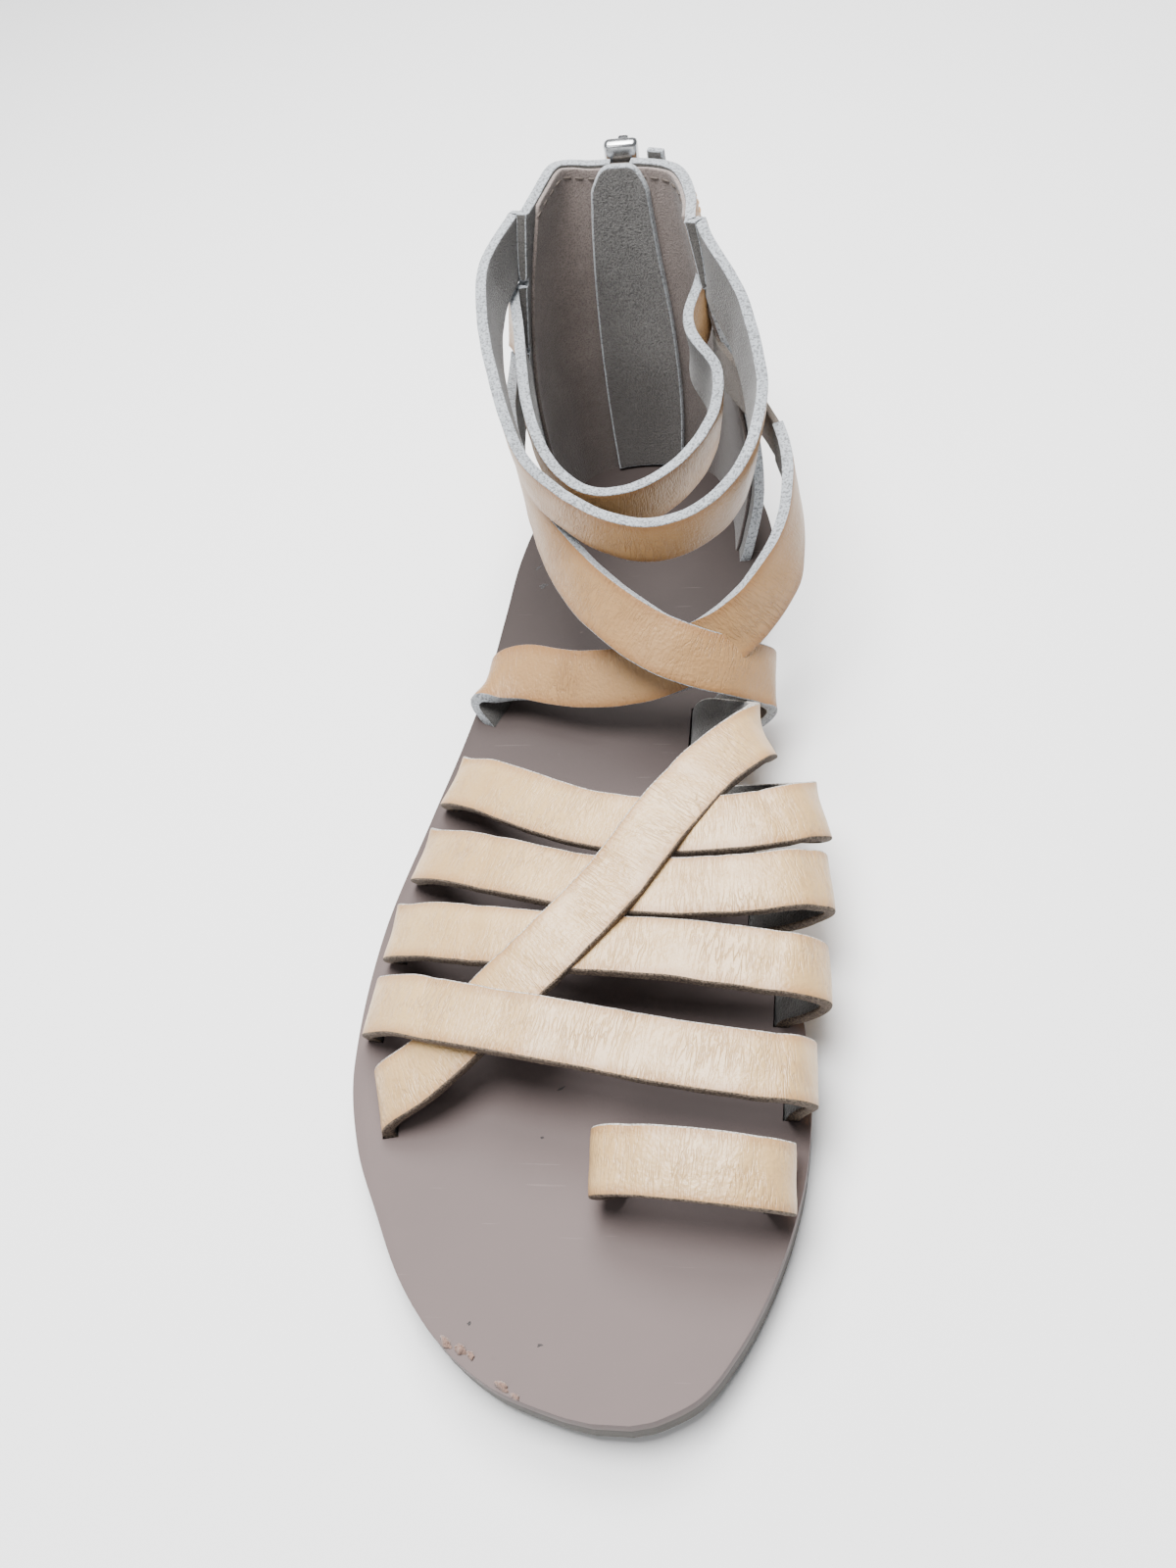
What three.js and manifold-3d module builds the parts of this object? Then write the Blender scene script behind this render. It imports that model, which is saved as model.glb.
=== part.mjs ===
// Gladiator sandal, right foot, with a closed heel and a zip at the back.
// Millimetres, +Z up, heel towards +Y, toe towards -Y, inner (medial) side of the foot towards +X.
// In the tables y = 0 lies 28 mm ahead of the heel's end and z = 0 is the floor; the finished group is
// shifted at the end, so that its origin is the centre of its box.
import * as THREE from 'three';
import { mergeVertices } from 'three/addons/utils/BufferGeometryUtils.js';
import Module from 'manifold-3d';

const wasm = await Module();
wasm.setup();

// ---------------------------------------------------------------- driving sizes
const LENGTH = 255;              // sole, heel to toe
const HEEL_Y = 28;               // heel end of the sole in the working frame
const FOOTBED_THICKNESS = 3.0;
const STRAP_WIDTH = 12.5;
const STRAP_THICKNESS = 2.4;
const QUARTER_WALL = 3.0;        // outer leather with its lining
const GAP = 0.35;                // clearance between neighbouring pieces
const SLOT_CLEARANCE = 0.4;      // round a strap where it passes through the footbed
const STRAP_STEP = 4.0;          // length of one facet along a strap
const SOLE_STEPS = 56;
const ZIP_REVEAL = 7.0;          // opening between the two quarters at the back
const GUARD_WIDTH = 20;
const GUARD_THICKNESS = 1.8;
const PULL_BAR = 0.8;            // half height of the bar at the top of the pull tab, where it turns

// Sole outline: distance from the heel, half widths to the inner and outer side of the axis.
const OUTLINE = [
  { from_heel: 0.0, inner: 5.0, outer: 2.0 },
  { from_heel: 3.0, inner: 13.0, outer: 9.5 },
  { from_heel: 15.3, inner: 23.8, outer: 19.8 },
  { from_heel: 29.0, inner: 30.0, outer: 27.2 },
  { from_heel: 45.9, inner: 32.6, outer: 31.1 },
  { from_heel: 66.0, inner: 29.0, outer: 32.8 },
  { from_heel: 86.7, inner: 24.9, outer: 34.6 },
  { from_heel: 107.0, inner: 23.4, outer: 37.8 },
  { from_heel: 127.5, inner: 26.4, outer: 42.0 },
  { from_heel: 158.1, inner: 36.2, outer: 47.8 },
  { from_heel: 188.7, inner: 41.0, outer: 48.6 },
  { from_heel: 206.0, inner: 40.6, outer: 44.8 },
  { from_heel: 219.3, inner: 38.0, outer: 38.6 },
  { from_heel: 232.0, inner: 33.6, outer: 31.8 },
  { from_heel: 242.3, inner: 28.4, outer: 23.2 },
  { from_heel: 250.0, inner: 22.6, outer: 12.4 },
  { from_heel: 254.0, inner: 15.6, outer: 0.5 },
  { from_heel: 255.0, inner: 11.5, outer: -5.0 },
];

// Sole in side view: height of the underside and of the top of the footbed.
const PROFILE = [
  { from_heel: 0, under: 0.6, top: 9.6 },
  { from_heel: 8, under: 0.0, top: 9.4 },
  { from_heel: 70, under: 0.0, top: 9.0 },
  { from_heel: 92, under: 1.6, top: 8.9 },
  { from_heel: 118, under: 1.8, top: 8.7 },
  { from_heel: 142, under: 0.0, top: 8.5 },
  { from_heel: 206, under: 0.0, top: 8.5 },
  { from_heel: 232, under: 1.5, top: 9.4 },
  { from_heel: 255, under: 4.2, top: 11.6 },
];

// Heel quarters, outer surface in plan at each height: the two front edges, the two sides and the back.
const QUARTER = [
  { up: 6.1, edge_out: [-20.4, -7.4], side_out: [-22.8, 2.0], back: 19.6, side_in: [24.6, -3.0], edge_in: [25.6, -21.4] },
  { up: 12, edge_out: [-21.8, -6.6], side_out: [-24.0, 2.4], back: 20.9, side_in: [25.6, -2.6], edge_in: [27.8, -20.4] },
  { up: 28, edge_out: [-24.4, -4.2], side_out: [-26.0, 4.0], back: 23.8, side_in: [27.8, -1.0], edge_in: [31.0, -16.4] },
  { up: 48, edge_out: [-26.0, -1.0], side_out: [-26.2, 7.0], back: 25.8, side_in: [26.4, 2.0], edge_in: [29.0, -10.0] },
  { up: 70, edge_out: [-24.4, 4.6], side_out: [-23.6, 11.5], back: 26.4, side_in: [21.6, 6.0], edge_in: [22.2, -2.4] },
  { up: 90, edge_out: [-21.6, 11.2], side_out: [-18.6, 17.5], back: 27.4, side_in: [17.6, 11.5], edge_in: [17.6, 3.6] },
];

// Straps: points of the centre line, and the direction of the width from the toe edge or lower edge
// to the heel edge or upper edge.
const TOE_LOOP = [
  { at: [7.0, -180.0, 6.2], wide: [0, 1, 0] },
  { at: [6.6, -180.4, 10.0], wide: [0, 1, 0] },
  { at: [3.0, -183.2, 15.0], wide: [0, 1, 0.1] },
  { at: [4.2, -185.0, 21.0], wide: [0, 1, 0.2] },
  { at: [12.5, -186.4, 24.4], wide: [0, 1, 0.25] },
  { at: [22.5, -187.4, 25.0], wide: [0, 1, 0.25] },
  { at: [31.5, -188.0, 24.2], wide: [0, 1, 0.25] },
  { at: [37.4, -186.8, 19.6], wide: [0, 1, 0.2] },
  { at: [36.4, -184.0, 13.4], wide: [0, 1, 0.1] },
  { at: [34.2, -182.4, 9.6], wide: [0, 1, 0] },
  { at: [33.8, -182.2, 6.2], wide: [0, 1, 0] },
];
const FRONT_STRAP = [
  { at: [-44.2, -149.0, 6.2], wide: [0.1, 1, 0] },
  { at: [-45.2, -149.2, 9.8], wide: [0.1, 1, 0] },
  { at: [-44.6, -151.1, 14.6], wide: [0.1, 1, 0.05] },
  { at: [-37.1, -153.9, 20.4], wide: [0.1, 1, 0.1] },
  { at: [-25.7, -158.2, 24.8], wide: [0.1, 1, 0.1] },
  { at: [-11.2, -161.9, 26.9], wide: [0.1, 1, 0.1] },
  { at: [2.6, -164.4, 27.2], wide: [0.1, 1, 0.1] },
  { at: [16.2, -167.1, 27.5], wide: [0.1, 1, 0.1] },
  { at: [29.6, -169.1, 27.8], wide: [0.1, 1, 0.1] },
  { at: [38.4, -168.8, 25.4], wide: [0, 1, 0.1] },
  { at: [41.4, -166.4, 18.6], wide: [0, 1, 0.05] },
  { at: [38.6, -164.6, 11.4], wide: [0, 1, 0] },
  { at: [37.2, -164.0, 6.2], wide: [0, 1, 0] },
];
const THIRD_STRAP = [
  { at: [-42.4, -130.8, 6.2], wide: [0.1, 1, 0] },
  { at: [-43.2, -131.0, 9.6], wide: [0.1, 1, 0] },
  { at: [-43.2, -134.0, 14.6], wide: [0.1, 1, 0] },
  { at: [-36.5, -136.4, 19.5], wide: [0, 1, 0] },
  { at: [-26.1, -139.9, 24.0], wide: [0, 1, 0] },
  { at: [-13.1, -143.0, 26.8], wide: [0, 1, 0] },
  { at: [1.1, -144.8, 28.0], wide: [0, 1, 0] },
  { at: [15.2, -146.1, 28.5], wide: [0, 1, 0.05] },
  { at: [29.2, -148.1, 29.0], wide: [0, 1, 0.1] },
  { at: [39.6, -148.6, 27.2], wide: [0, 1, 0.1] },
  { at: [44.2, -146.8, 20.6], wide: [-0.06, 1, 0.05] },
  { at: [40.0, -145.4, 12.8], wide: [0, 1, 0] },
  { at: [35.8, -144.6, 9.4], wide: [0, 1, 0] },
  { at: [35.2, -144.4, 6.2], wide: [0, 1, 0] },
];
const FOURTH_STRAP = [
  { at: [-39.2, -110.4, 6.2], wide: [0.2, 1, 0] },
  { at: [-39.8, -110.8, 9.6], wide: [0.2, 1, 0] },
  { at: [-39.8, -114.6, 14.6], wide: [0.2, 1, 0] },
  { at: [-32.8, -118.5, 20.0], wide: [0.1, 1, 0] },
  { at: [-19.7, -124.6, 25.0], wide: [-0.05, 1, 0] },
  { at: [-6.3, -129.6, 27.5], wide: [0, 1, 0] },
  { at: [6.3, -131.8, 28.5], wide: [0, 1, 0.05] },
  { at: [18.7, -132.6, 29.5], wide: [0, 1, 0.1] },
  { at: [31.0, -132.0, 30.0], wide: [-0.05, 1, 0.12] },
  { at: [40.5, -129.2, 27.8], wide: [-0.12, 1, 0.1] },
  { at: [44.6, -126.4, 21.4], wide: [-0.12, 1, 0.1] },
  { at: [37.6, -124.6, 13.0], wide: [-0.05, 1, 0.05] },
  { at: [30.4, -124.2, 9.4], wide: [0, 1, 0] },
  { at: [29.6, -124.2, 6.2], wide: [0, 1, 0] },
];
const FIFTH_STRAP = [
  { at: [-34.6, -91.0, 6.2], wide: [0.35, 1, 0] },
  { at: [-35.2, -91.2, 9.6], wide: [0.35, 1, 0] },
  { at: [-36.2, -94.6, 14.2], wide: [0.3, 1, 0] },
  { at: [-29.6, -98.6, 19.0], wide: [0.1, 1, 0.05] },
  { at: [-17.7, -106.6, 23.8], wide: [-0.15, 1, 0.05] },
  { at: [-5.6, -113.6, 27.0], wide: [-0.1, 1, 0.05] },
  { at: [7.6, -117.6, 29.2], wide: [0, 1, 0.1] },
  { at: [20.4, -118.6, 30.4], wide: [-0.05, 1, 0.1] },
  { at: [31.0, -117.8, 31.0], wide: [-0.1, 1, 0.12] },
  { at: [39.4, -114.4, 29.0], wide: [-0.25, 1, 0.12] },
  { at: [42.6, -109.6, 22.6], wide: [-0.3, 1, 0.1] },
  { at: [33.6, -102.6, 14.0], wide: [-0.1, 1, 0.1] },
  { at: [22.6, -100.2, 10.2], wide: [0, 1, 0] },
  { at: [21.4, -100.0, 6.2], wide: [0, 1, 0] },
];
const DIAGONAL_STRAP = [
  { at: [-39.2, -169.6, 6.2], wide: [-0.2, 1, 0] },
  { at: [-40.6, -169.8, 9.0], wide: [-0.2, 1, 0.05] },
  { at: [-39.6, -169.6, 13.0], wide: [-0.35, 1, 0.15] },
  { at: [-31.4, -166.4, 18.0], wide: [-0.7, 1, 0] },
  { at: [-23.6, -160.0, 21.8], wide: [-0.9, 1, 0] },
  { at: [-14.0, -152.0, 26.6], wide: [-1.4, 1, 0] },
  { at: [-5.0, -143.4, 29.7], wide: [-1.6, 1, 0] },
  { at: [4.5, -130.8, 30.7], wide: [-1.7, 1, 0] },
  { at: [13.0, -117.0, 32.0], wide: [-1.5, 1, 0.1] },
  { at: [21.6, -105.0, 32.2], wide: [-1.2, 1, 0.15] },
  { at: [29.0, -95.6, 29.4], wide: [-0.6, 1, 0.15] },
  { at: [30.6, -89.4, 24.0], wide: [-0.3, 1, 0.15] },
  { at: [24.4, -82.0, 17.0], wide: [-0.1, 1, 0.1] },
  { at: [17.6, -76.8, 12.4], wide: [0, 1, 0.1] },
  { at: [15.8, -75.4, 9.0], wide: [0, 1, 0] },
  { at: [15.6, -75.2, 6.2], wide: [0, 1, 0] },
];
const INSTEP_OVER = [
  { at: [19.4, -72.6, 6.2], wide: [0, 1, 0] },
  { at: [20.6, -72.4, 9.4], wide: [0, 1, 0] },
  { at: [28.4, -71.8, 13.2], wide: [0, 1, 0.3] },
  { at: [32.8, -71.6, 20.6], wide: [0, 0.8, 0.6] },
  { at: [27.4, -75.4, 28.8], wide: [0.35, 0.8, 0.5] },
  { at: [17.0, -76.8, 34.6], wide: [0.28, 0.7, 0.66] },
  { at: [8.0, -74.4, 38.0], wide: [0.48, 0.58, 0.65] },
  { at: [0.2, -69.0, 40.4], wide: [0.6, 0.3, 0.74] },
  { at: [-6.9, -61.4, 41.6], wide: [0.5, 0.2, 0.8] },
  { at: [-13.5, -51.8, 43.4], wide: [0.4, 0, 0.9] },
  { at: [-18.0, -43.6, 46.4], wide: [0.2, -0.1, 1] },
  { at: [-22.0, -33.4, 50.2], wide: [0, 0, 1] },
  { at: [-25.2, -20.0, 53.2], wide: [-0.05, 0, 1] },
  { at: [-26.0, -3.0, 55.0], wide: [-0.05, 0, 1] },
];
const INSTEP_UNDER = [
  { at: [-29.6, -67.0, 6.2], wide: [0.4, 1, 0] },
  { at: [-30.4, -66.8, 9.4], wide: [0.4, 1, 0] },
  { at: [-33.2, -65.0, 13.6], wide: [0.45, 1, 0.15] },
  { at: [-25.0, -65.0, 18.0], wide: [0.2, 0.95, 0.5] },
  { at: [-11.5, -69.8, 20.8], wide: [0.2, 0.8, 0.8] },
  { at: [0.3, -72.0, 23.6], wide: [0.3, 0.65, 0.8] },
  { at: [9.5, -73.2, 27.4], wide: [0.35, 0.65, 0.8] },
  { at: [17.2, -73.4, 31.7], wide: [0.35, 0.65, 0.75] },
  { at: [24.4, -71.6, 36.2], wide: [0.36, 0.4, 0.9] },
  { at: [30.6, -68.2, 41.0], wide: [0.25, 0.45, 0.95] },
  { at: [35.6, -62.4, 45.8], wide: [0, 0.5, 1] },
  { at: [38.0, -54.4, 50.4], wide: [-0.1, 0.4, 1] },
  { at: [37.8, -43.6, 55.0], wide: [-0.15, 0.3, 1] },
  { at: [35.4, -34.6, 57.0], wide: [-0.12, 0.15, 1] },
];
const ELASTIC_TAB = [
  { at: [34.3, -32.2, 56.9], wide: [-0.12, 0.15, 1] },
  { at: [31.6, -25.2, 56.6], wide: [-0.05, 0.1, 1] },
  { at: [27.2, -15.8, 56.6], wide: [0, 0.1, 1] },
  { at: [23.0, -6.0, 56.6], wide: [0, 0.1, 1] },
];
const ANKLE_OUTER = [
  { at: [-21.0, 9.4, 82.0], wide: [0, 0.1, 1] },
  { at: [-27.4, -1.0, 79.8], wide: [-0.12, 0.1, 1] },
  { at: [-27.6, -15.4, 76.2], wide: [-0.12, 0.1, 1] },
  { at: [-23.0, -35.0, 68.8], wide: [-0.15, 0, 1] },
  { at: [-17.6, -48.0, 62.0], wide: [-0.12, -0.12, 1] },
  { at: [-10.8, -53.8, 58.0], wide: [-0.1, -0.18, 1] },
  { at: [-0.7, -58.5, 54.2], wide: [0, -0.2, 1] },
  { at: [8.8, -59.8, 52.6], wide: [0.05, -0.2, 1] },
  { at: [18.6, -57.2, 54.0], wide: [0.1, -0.18, 1] },
  { at: [26.6, -50.8, 58.0], wide: [0.14, -0.12, 1] },
  { at: [31.0, -36.2, 65.0], wide: [0.18, 0, 1] },
  { at: [27.4, -16.6, 73.8], wide: [0.12, 0.1, 1] },
  { at: [22.2, -6.4, 79.4], wide: [0.08, 0.1, 1] },
  { at: [17.0, 3.4, 82.6], wide: [0, 0.1, 1] },
];
const ANKLE_INNER = [
  { at: [18.8, 0.0, 68.4], wide: [0, 0.1, 1] },
  { at: [16.0, -9.0, 66.2], wide: [-0.05, 0.1, 1] },
  { at: [17.4, -15.0, 64.4], wide: [0, 0, 1] },
  { at: [21.2, -20.2, 61.4], wide: [0.1, 0, 1] },
  { at: [21.4, -29.6, 58.4], wide: [0.12, -0.05, 1] },
  { at: [18.2, -37.0, 56.0], wide: [0.1, -0.1, 1] },
  { at: [12.0, -44.6, 54.0], wide: [0.05, -0.15, 1] },
  { at: [3.8, -49.4, 53.0], wide: [0, -0.18, 1] },
  { at: [-4.3, -50.8, 54.0], wide: [-0.05, -0.15, 1] },
  { at: [-11.8, -45.2, 56.2], wide: [-0.1, -0.1, 1] },
  { at: [-17.0, -35.6, 59.4], wide: [-0.1, -0.05, 1] },
  { at: [-20.8, -20.0, 62.6], wide: [-0.08, 0, 1] },
  { at: [-23.0, -4.0, 65.8], wide: [0, 0.1, 1] },
  { at: [-22.8, 3.0, 67.4], wide: [0, 0.1, 1] },
];

// Colours of the finished surfaces.
const LEATHER = { color: 0xc9a77e, roughness: 0.42, metalness: 0 };
const FOOTBED = { color: 0x8d807c, roughness: 0.55, metalness: 0 };
const SOLE_EDGE = { color: 0x4f4a43, roughness: 0.75, metalness: 0 };
const FELT = { color: 0x6d655e, roughness: 0.95, metalness: 0 };
const WEBBING = { color: 0x6a5c50, roughness: 0.9, metalness: 0 };
const NICKEL = { color: 0xb9bbbd, roughness: 0.22, metalness: 1 };

const sandal = new THREE.Group();

function place(name, geometry, finish) {
  const mesh = new THREE.Mesh(geometry, new THREE.MeshStandardMaterial(finish));
  mesh.name = name;
  sandal.add(mesh);
  return mesh;
}

// ---------------------------------------------------------------- solids
// A closed geometry from points and triangles, turned so that its faces point out.
function closedGeometry(points, triangles) {
  let volume = 0;
  const cross = new THREE.Vector3();
  for (const [a, b, c] of triangles) {
    volume += points[a].dot(cross.crossVectors(points[b], points[c])) / 6;
  }
  const turned = volume < 0 ? triangles.map(([a, b, c]) => [a, c, b]) : triangles;
  const geometry = new THREE.BufferGeometry();
  geometry.setAttribute('position', new THREE.Float32BufferAttribute(points.flatMap((p) => [p.x, p.y, p.z]), 3));
  geometry.setIndex(turned.flat());
  return geometry;
}

// A wall between two grids of points of the same size: both faces and the four rims.
function wallGeometry(outer, inner) {
  const rows = outer.length;
  const columns = outer[0].length;
  const points = [...outer.flat(), ...inner.flat()];
  const shift = rows * columns;
  const index = (row, column) => row * columns + column;
  const triangles = [];
  const quad = (a, b, c, d) => triangles.push([a, b, c], [a, c, d]);
  for (let r = 0; r + 1 < rows; r += 1) {
    for (let c = 0; c + 1 < columns; c += 1) {
      const corners = [index(r, c), index(r, c + 1), index(r + 1, c + 1), index(r + 1, c)];
      quad(...corners);
      quad(...corners.map((i) => i + shift).reverse());
    }
  }
  const rim = [];
  for (let c = 0; c < columns; c += 1) rim.push(index(0, c));
  for (let r = 1; r < rows; r += 1) rim.push(index(r, columns - 1));
  for (let c = columns - 2; c >= 0; c -= 1) rim.push(index(rows - 1, c));
  for (let r = rows - 2; r > 0; r -= 1) rim.push(index(r, 0));
  rim.forEach((a, i) => {
    const b = rim[(i + 1) % rim.length];
    quad(b, a, a + shift, b + shift);
  });
  return closedGeometry(points, triangles);
}

function solidOf(geometry) {
  const bare = geometry.clone();
  bare.deleteAttribute('normal');
  bare.deleteAttribute('uv');
  const merged = mergeVertices(bare, 1e-4);
  return new wasm.Manifold(new wasm.Mesh({
    numProp: 3,
    vertProperties: new Float32Array(merged.attributes.position.array),
    triVerts: new Uint32Array(merged.index.array),
  }));
}

function geometryOf(solid) {
  const mesh = solid.getMesh();
  const geometry = new THREE.BufferGeometry();
  geometry.setAttribute('position', new THREE.BufferAttribute(new Float32Array(mesh.vertProperties), 3));
  geometry.setIndex([...mesh.triVerts]);
  return geometry;
}

// Smooth value of a table's column at a place along its key column.
function column(table, key, name, at) {
  const last = table.length - 1;
  let i = table.findIndex((row) => row[key] > at) - 1;
  if (i < 0) i = at <= table[0][key] ? 0 : last - 1;
  const before = table[Math.max(i - 1, 0)];
  const a = table[i];
  const b = table[i + 1];
  const after = table[Math.min(i + 2, last)];
  const span = b[key] - a[key];
  const t = Math.min(Math.max((at - a[key]) / span, 0), 1);
  const slopeA = i > 0 ? (b[name] - before[name]) / (b[key] - before[key]) : (b[name] - a[name]) / span;
  const slopeB = i + 2 <= last ? (after[name] - a[name]) / (after[key] - a[key]) : (b[name] - a[name]) / span;
  const t2 = t * t;
  const t3 = t2 * t;
  return (2 * t3 - 3 * t2 + 1) * a[name] + (t3 - 2 * t2 + t) * span * slopeA
    + (3 * t2 - 2 * t3) * b[name] + (t3 - t2) * span * slopeB;
}

// ---------------------------------------------------------------- sole
// Stations crowd towards the round ends, so that the outline closes smoothly.
function soleStations() {
  const stations = [];
  for (let i = 0; i <= SOLE_STEPS; i += 1) {
    stations.push((LENGTH * (1 - Math.cos((Math.PI * i) / SOLE_STEPS))) / 2);
  }
  return stations;
}

// A layer of the sole between two heights, each a function of the distance from the heel.
function soleLayer(lower, upper) {
  const grid = (height) => soleStations().map((s) => {
    const y = HEEL_Y - s;
    const outer = -column(OUTLINE, 'from_heel', 'outer', s);
    const inner = column(OUTLINE, 'from_heel', 'inner', s);
    return [new THREE.Vector3(outer, y, height(s)), new THREE.Vector3(inner, y, height(s))];
  });
  return wallGeometry(grid(upper), grid(lower));
}

const soleUnder = (s) => straight(PROFILE, 'from_heel', 'under', s);
const footbedTop = (s) => straight(PROFILE, 'from_heel', 'top', s);
const footbedUnder = (s) => footbedTop(s) - FOOTBED_THICKNESS;
const outsoleTop = (s) => footbedUnder(s) - GAP;

// Value of a table's column on straight lines between its rows, for the sole's flat stretches.
function straight(table, key, name, at) {
  const i = Math.min(Math.max(table.findIndex((row) => row[key] >= at), 1), table.length - 1);
  const a = table[i - 1];
  const b = table[i];
  return a[name] + ((b[name] - a[name]) * (at - a[key])) / (b[key] - a[key]);
}

// ---------------------------------------------------------------- straps
// Frames along a strap: centre, width direction and outward normal.
function strapFrames(table) {
  const path = new THREE.CatmullRomCurve3(table.map((row) => new THREE.Vector3(...row.at)), false, 'centripetal');
  const widths = table.map((row) => new THREE.Vector3(...row.wide).normalize());
  const steps = Math.max(4, Math.round(path.getLength() / STRAP_STEP));
  const frames = [];
  for (let i = 0; i <= steps; i += 1) {
    const t = path.getUtoTmapping(i / steps);
    const tangent = path.getTangent(t);
    const row = Math.min(Math.floor(t * (table.length - 1)), table.length - 2);
    const share = t * (table.length - 1) - row;
    const wide = widths[row].clone().lerp(widths[row + 1], share);
    wide.addScaledVector(tangent, -wide.dot(tangent)).normalize();
    const normal = new THREE.Vector3().crossVectors(wide, tangent).normalize();
    frames.push({ centre: path.getPoint(t), tangent, wide, normal });
  }
  return frames;
}

function ribbonGeometry(frames, thickness, width) {
  const side = (sign) => frames.map(({ centre, wide, normal }) => [-0.5, 0.5].map((half) => (
    centre.clone().addScaledVector(wide, half * width).addScaledVector(normal, (sign * thickness) / 2))));
  return wallGeometry(side(1), side(-1));
}

function strapGeometry(table, thickness = STRAP_THICKNESS, width = STRAP_WIDTH) {
  return ribbonGeometry(strapFrames(table), thickness, width);
}

// The cutter of a strap's slots: the strap with its clearance, its ends carried on down through the footbed.
function slotCutter(table) {
  const frames = strapFrames(table);
  const first = frames[0];
  const last = frames[frames.length - 1];
  const before = { ...first, centre: first.centre.clone().addScaledVector(first.tangent, -FOOTBED_THICKNESS) };
  const after = { ...last, centre: last.centre.clone().addScaledVector(last.tangent, FOOTBED_THICKNESS) };
  const clearance = 2 * SLOT_CLEARANCE;
  return ribbonGeometry([before, ...frames, after], STRAP_THICKNESS + clearance, STRAP_WIDTH + clearance);
}

// ---------------------------------------------------------------- heel quarters
// Plan of the outer surface at one height, from the outer front edge round the back to the inner one.
function quarterPlan(row) {
  const [backX, corner] = [0, 0.74];
  const diagonal = (side) => [side[0] * corner, side[1] + (row.back - side[1]) * corner];
  const points = [row.edge_out, row.side_out, diagonal(row.side_out), [backX, row.back],
    diagonal(row.side_in), row.side_in, row.edge_in];
  return new THREE.CatmullRomCurve3(points.map(([x, y]) => new THREE.Vector3(x, y, row.up)), false, 'centripetal');
}

// A stretch of the quarters' wall; shares run along the plan curve from 0 (outer edge) to 1 (inner edge).
function quarterWall(from, to, columns, outward, inward, heights) {
  const curves = QUARTER.map(quarterPlan);
  const at = (share, up) => {
    const table = QUARTER.map((row, i) => {
      const p = curves[i].getPoint(share);
      return { up: row.up, x: p.x, y: p.y };
    });
    return new THREE.Vector3(column(table, 'up', 'x', up), column(table, 'up', 'y', up), up);
  };
  // Past a front edge the wall carries straight on.
  const beyond = (share, up) => {
    if (share >= 0 && share <= 1) return at(share, up);
    const end = share < 0 ? 0 : 1;
    const before = share < 0 ? 0.02 : 0.98;
    return at(end, up).lerp(at(before, up), (end - share) / (end - before));
  };
  const grid = (offset) => heights.map((up) => {
    const line = [];
    for (let c = 0; c <= columns; c += 1) {
      const share = from + ((to - from) * c) / columns;
      const along = beyond(share + 0.01, up).sub(beyond(share - 0.01, up));
      const outwards = new THREE.Vector3(-along.y, along.x, 0).normalize();
      line.push(beyond(share, up).addScaledVector(outwards, offset));
    }
    return line;
  });
  return wallGeometry(grid(outward), grid(-inward));
}

// Share of the plan curve at which it reaches x, near the back.
function shareAtX(x) {
  const curve = quarterPlan(QUARTER[3]);
  let low = 0.2;
  let high = 0.8;
  for (let i = 0; i < 30; i += 1) {
    const middle = (low + high) / 2;
    if (curve.getPoint(middle).x < x) low = middle;
    else high = middle;
  }
  return (low + high) / 2;
}

const QUARTER_TOP = 90;
const QUARTER_FOOT = 6.7;
function levels(from, to, count) {
  return Array.from({ length: count + 1 }, (_, i) => from + ((to - from) * i) / count);
}
const backOuter = shareAtX(-ZIP_REVEAL / 2);
const backInner = shareAtX(ZIP_REVEAL / 2);

// ---------------------------------------------------------------- the pieces
let footbed = solidOf(soleLayer(footbedUnder, footbedTop));
const slotted = [TOE_LOOP, FRONT_STRAP, THIRD_STRAP, FOURTH_STRAP, FIFTH_STRAP, DIAGONAL_STRAP,
  INSTEP_OVER, INSTEP_UNDER];
for (const strap of slotted) footbed = footbed.subtract(solidOf(slotCutter(strap)));
const EDGE_SHARE = 0.006;        // share of the plan curve that clears a front edge
const GROOVE = { foot: 4.5, top: 13, columns: 24 };   // cuts right through the footbed
const groove = quarterWall(-EDGE_SHARE, 1 + EDGE_SHARE, GROOVE.columns, GAP, QUARTER_WALL + GAP,
  levels(GROOVE.foot, GROOVE.top, 3));
footbed = footbed.subtract(solidOf(groove));
place('footbed', geometryOf(footbed), FOOTBED);
place('outsole', soleLayer(soleUnder, outsoleTop), SOLE_EDGE);

// Strap ends stop on the outsole's top, and at the quarters' front edges.
const below = solidOf(soleLayer(() => -1, footbedUnder));
const quartersClear = solidOf(
  quarterWall(-EDGE_SHARE, 1 + EDGE_SHARE, GROOVE.columns, GAP, QUARTER_WALL + GAP,
    levels(GROOVE.foot, QUARTER_TOP + 2, 14)),
);
const trimmed = (solid) => {
  const pieces = solid.subtract(below).subtract(quartersClear).decompose();
  return pieces.reduce((largest, piece) => (piece.volume() > largest.volume() ? piece : largest));
};
const strapSolid = (...tables) => tables
  .map((table) => solidOf(strapGeometry(table)))
  .reduce((joined, strap) => joined.add(strap));
const placeStraps = (name, ...tables) => place(name, geometryOf(trimmed(strapSolid(...tables))), LEATHER);

placeStraps('toe_loop', TOE_LOOP);
placeStraps('vamp_straps', FRONT_STRAP, THIRD_STRAP, FOURTH_STRAP, FIFTH_STRAP, DIAGONAL_STRAP);
placeStraps('instep_straps', INSTEP_OVER, INSTEP_UNDER);
placeStraps('ankle_strap_outer', ANKLE_OUTER);
placeStraps('ankle_strap_inner', ANKLE_INNER);
const ELASTIC = { thickness: 1.4, width: 11 };
place('elastic_tab', geometryOf(trimmed(
  solidOf(strapGeometry(ELASTIC_TAB, ELASTIC.thickness, ELASTIC.width)),
)), WEBBING);

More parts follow.
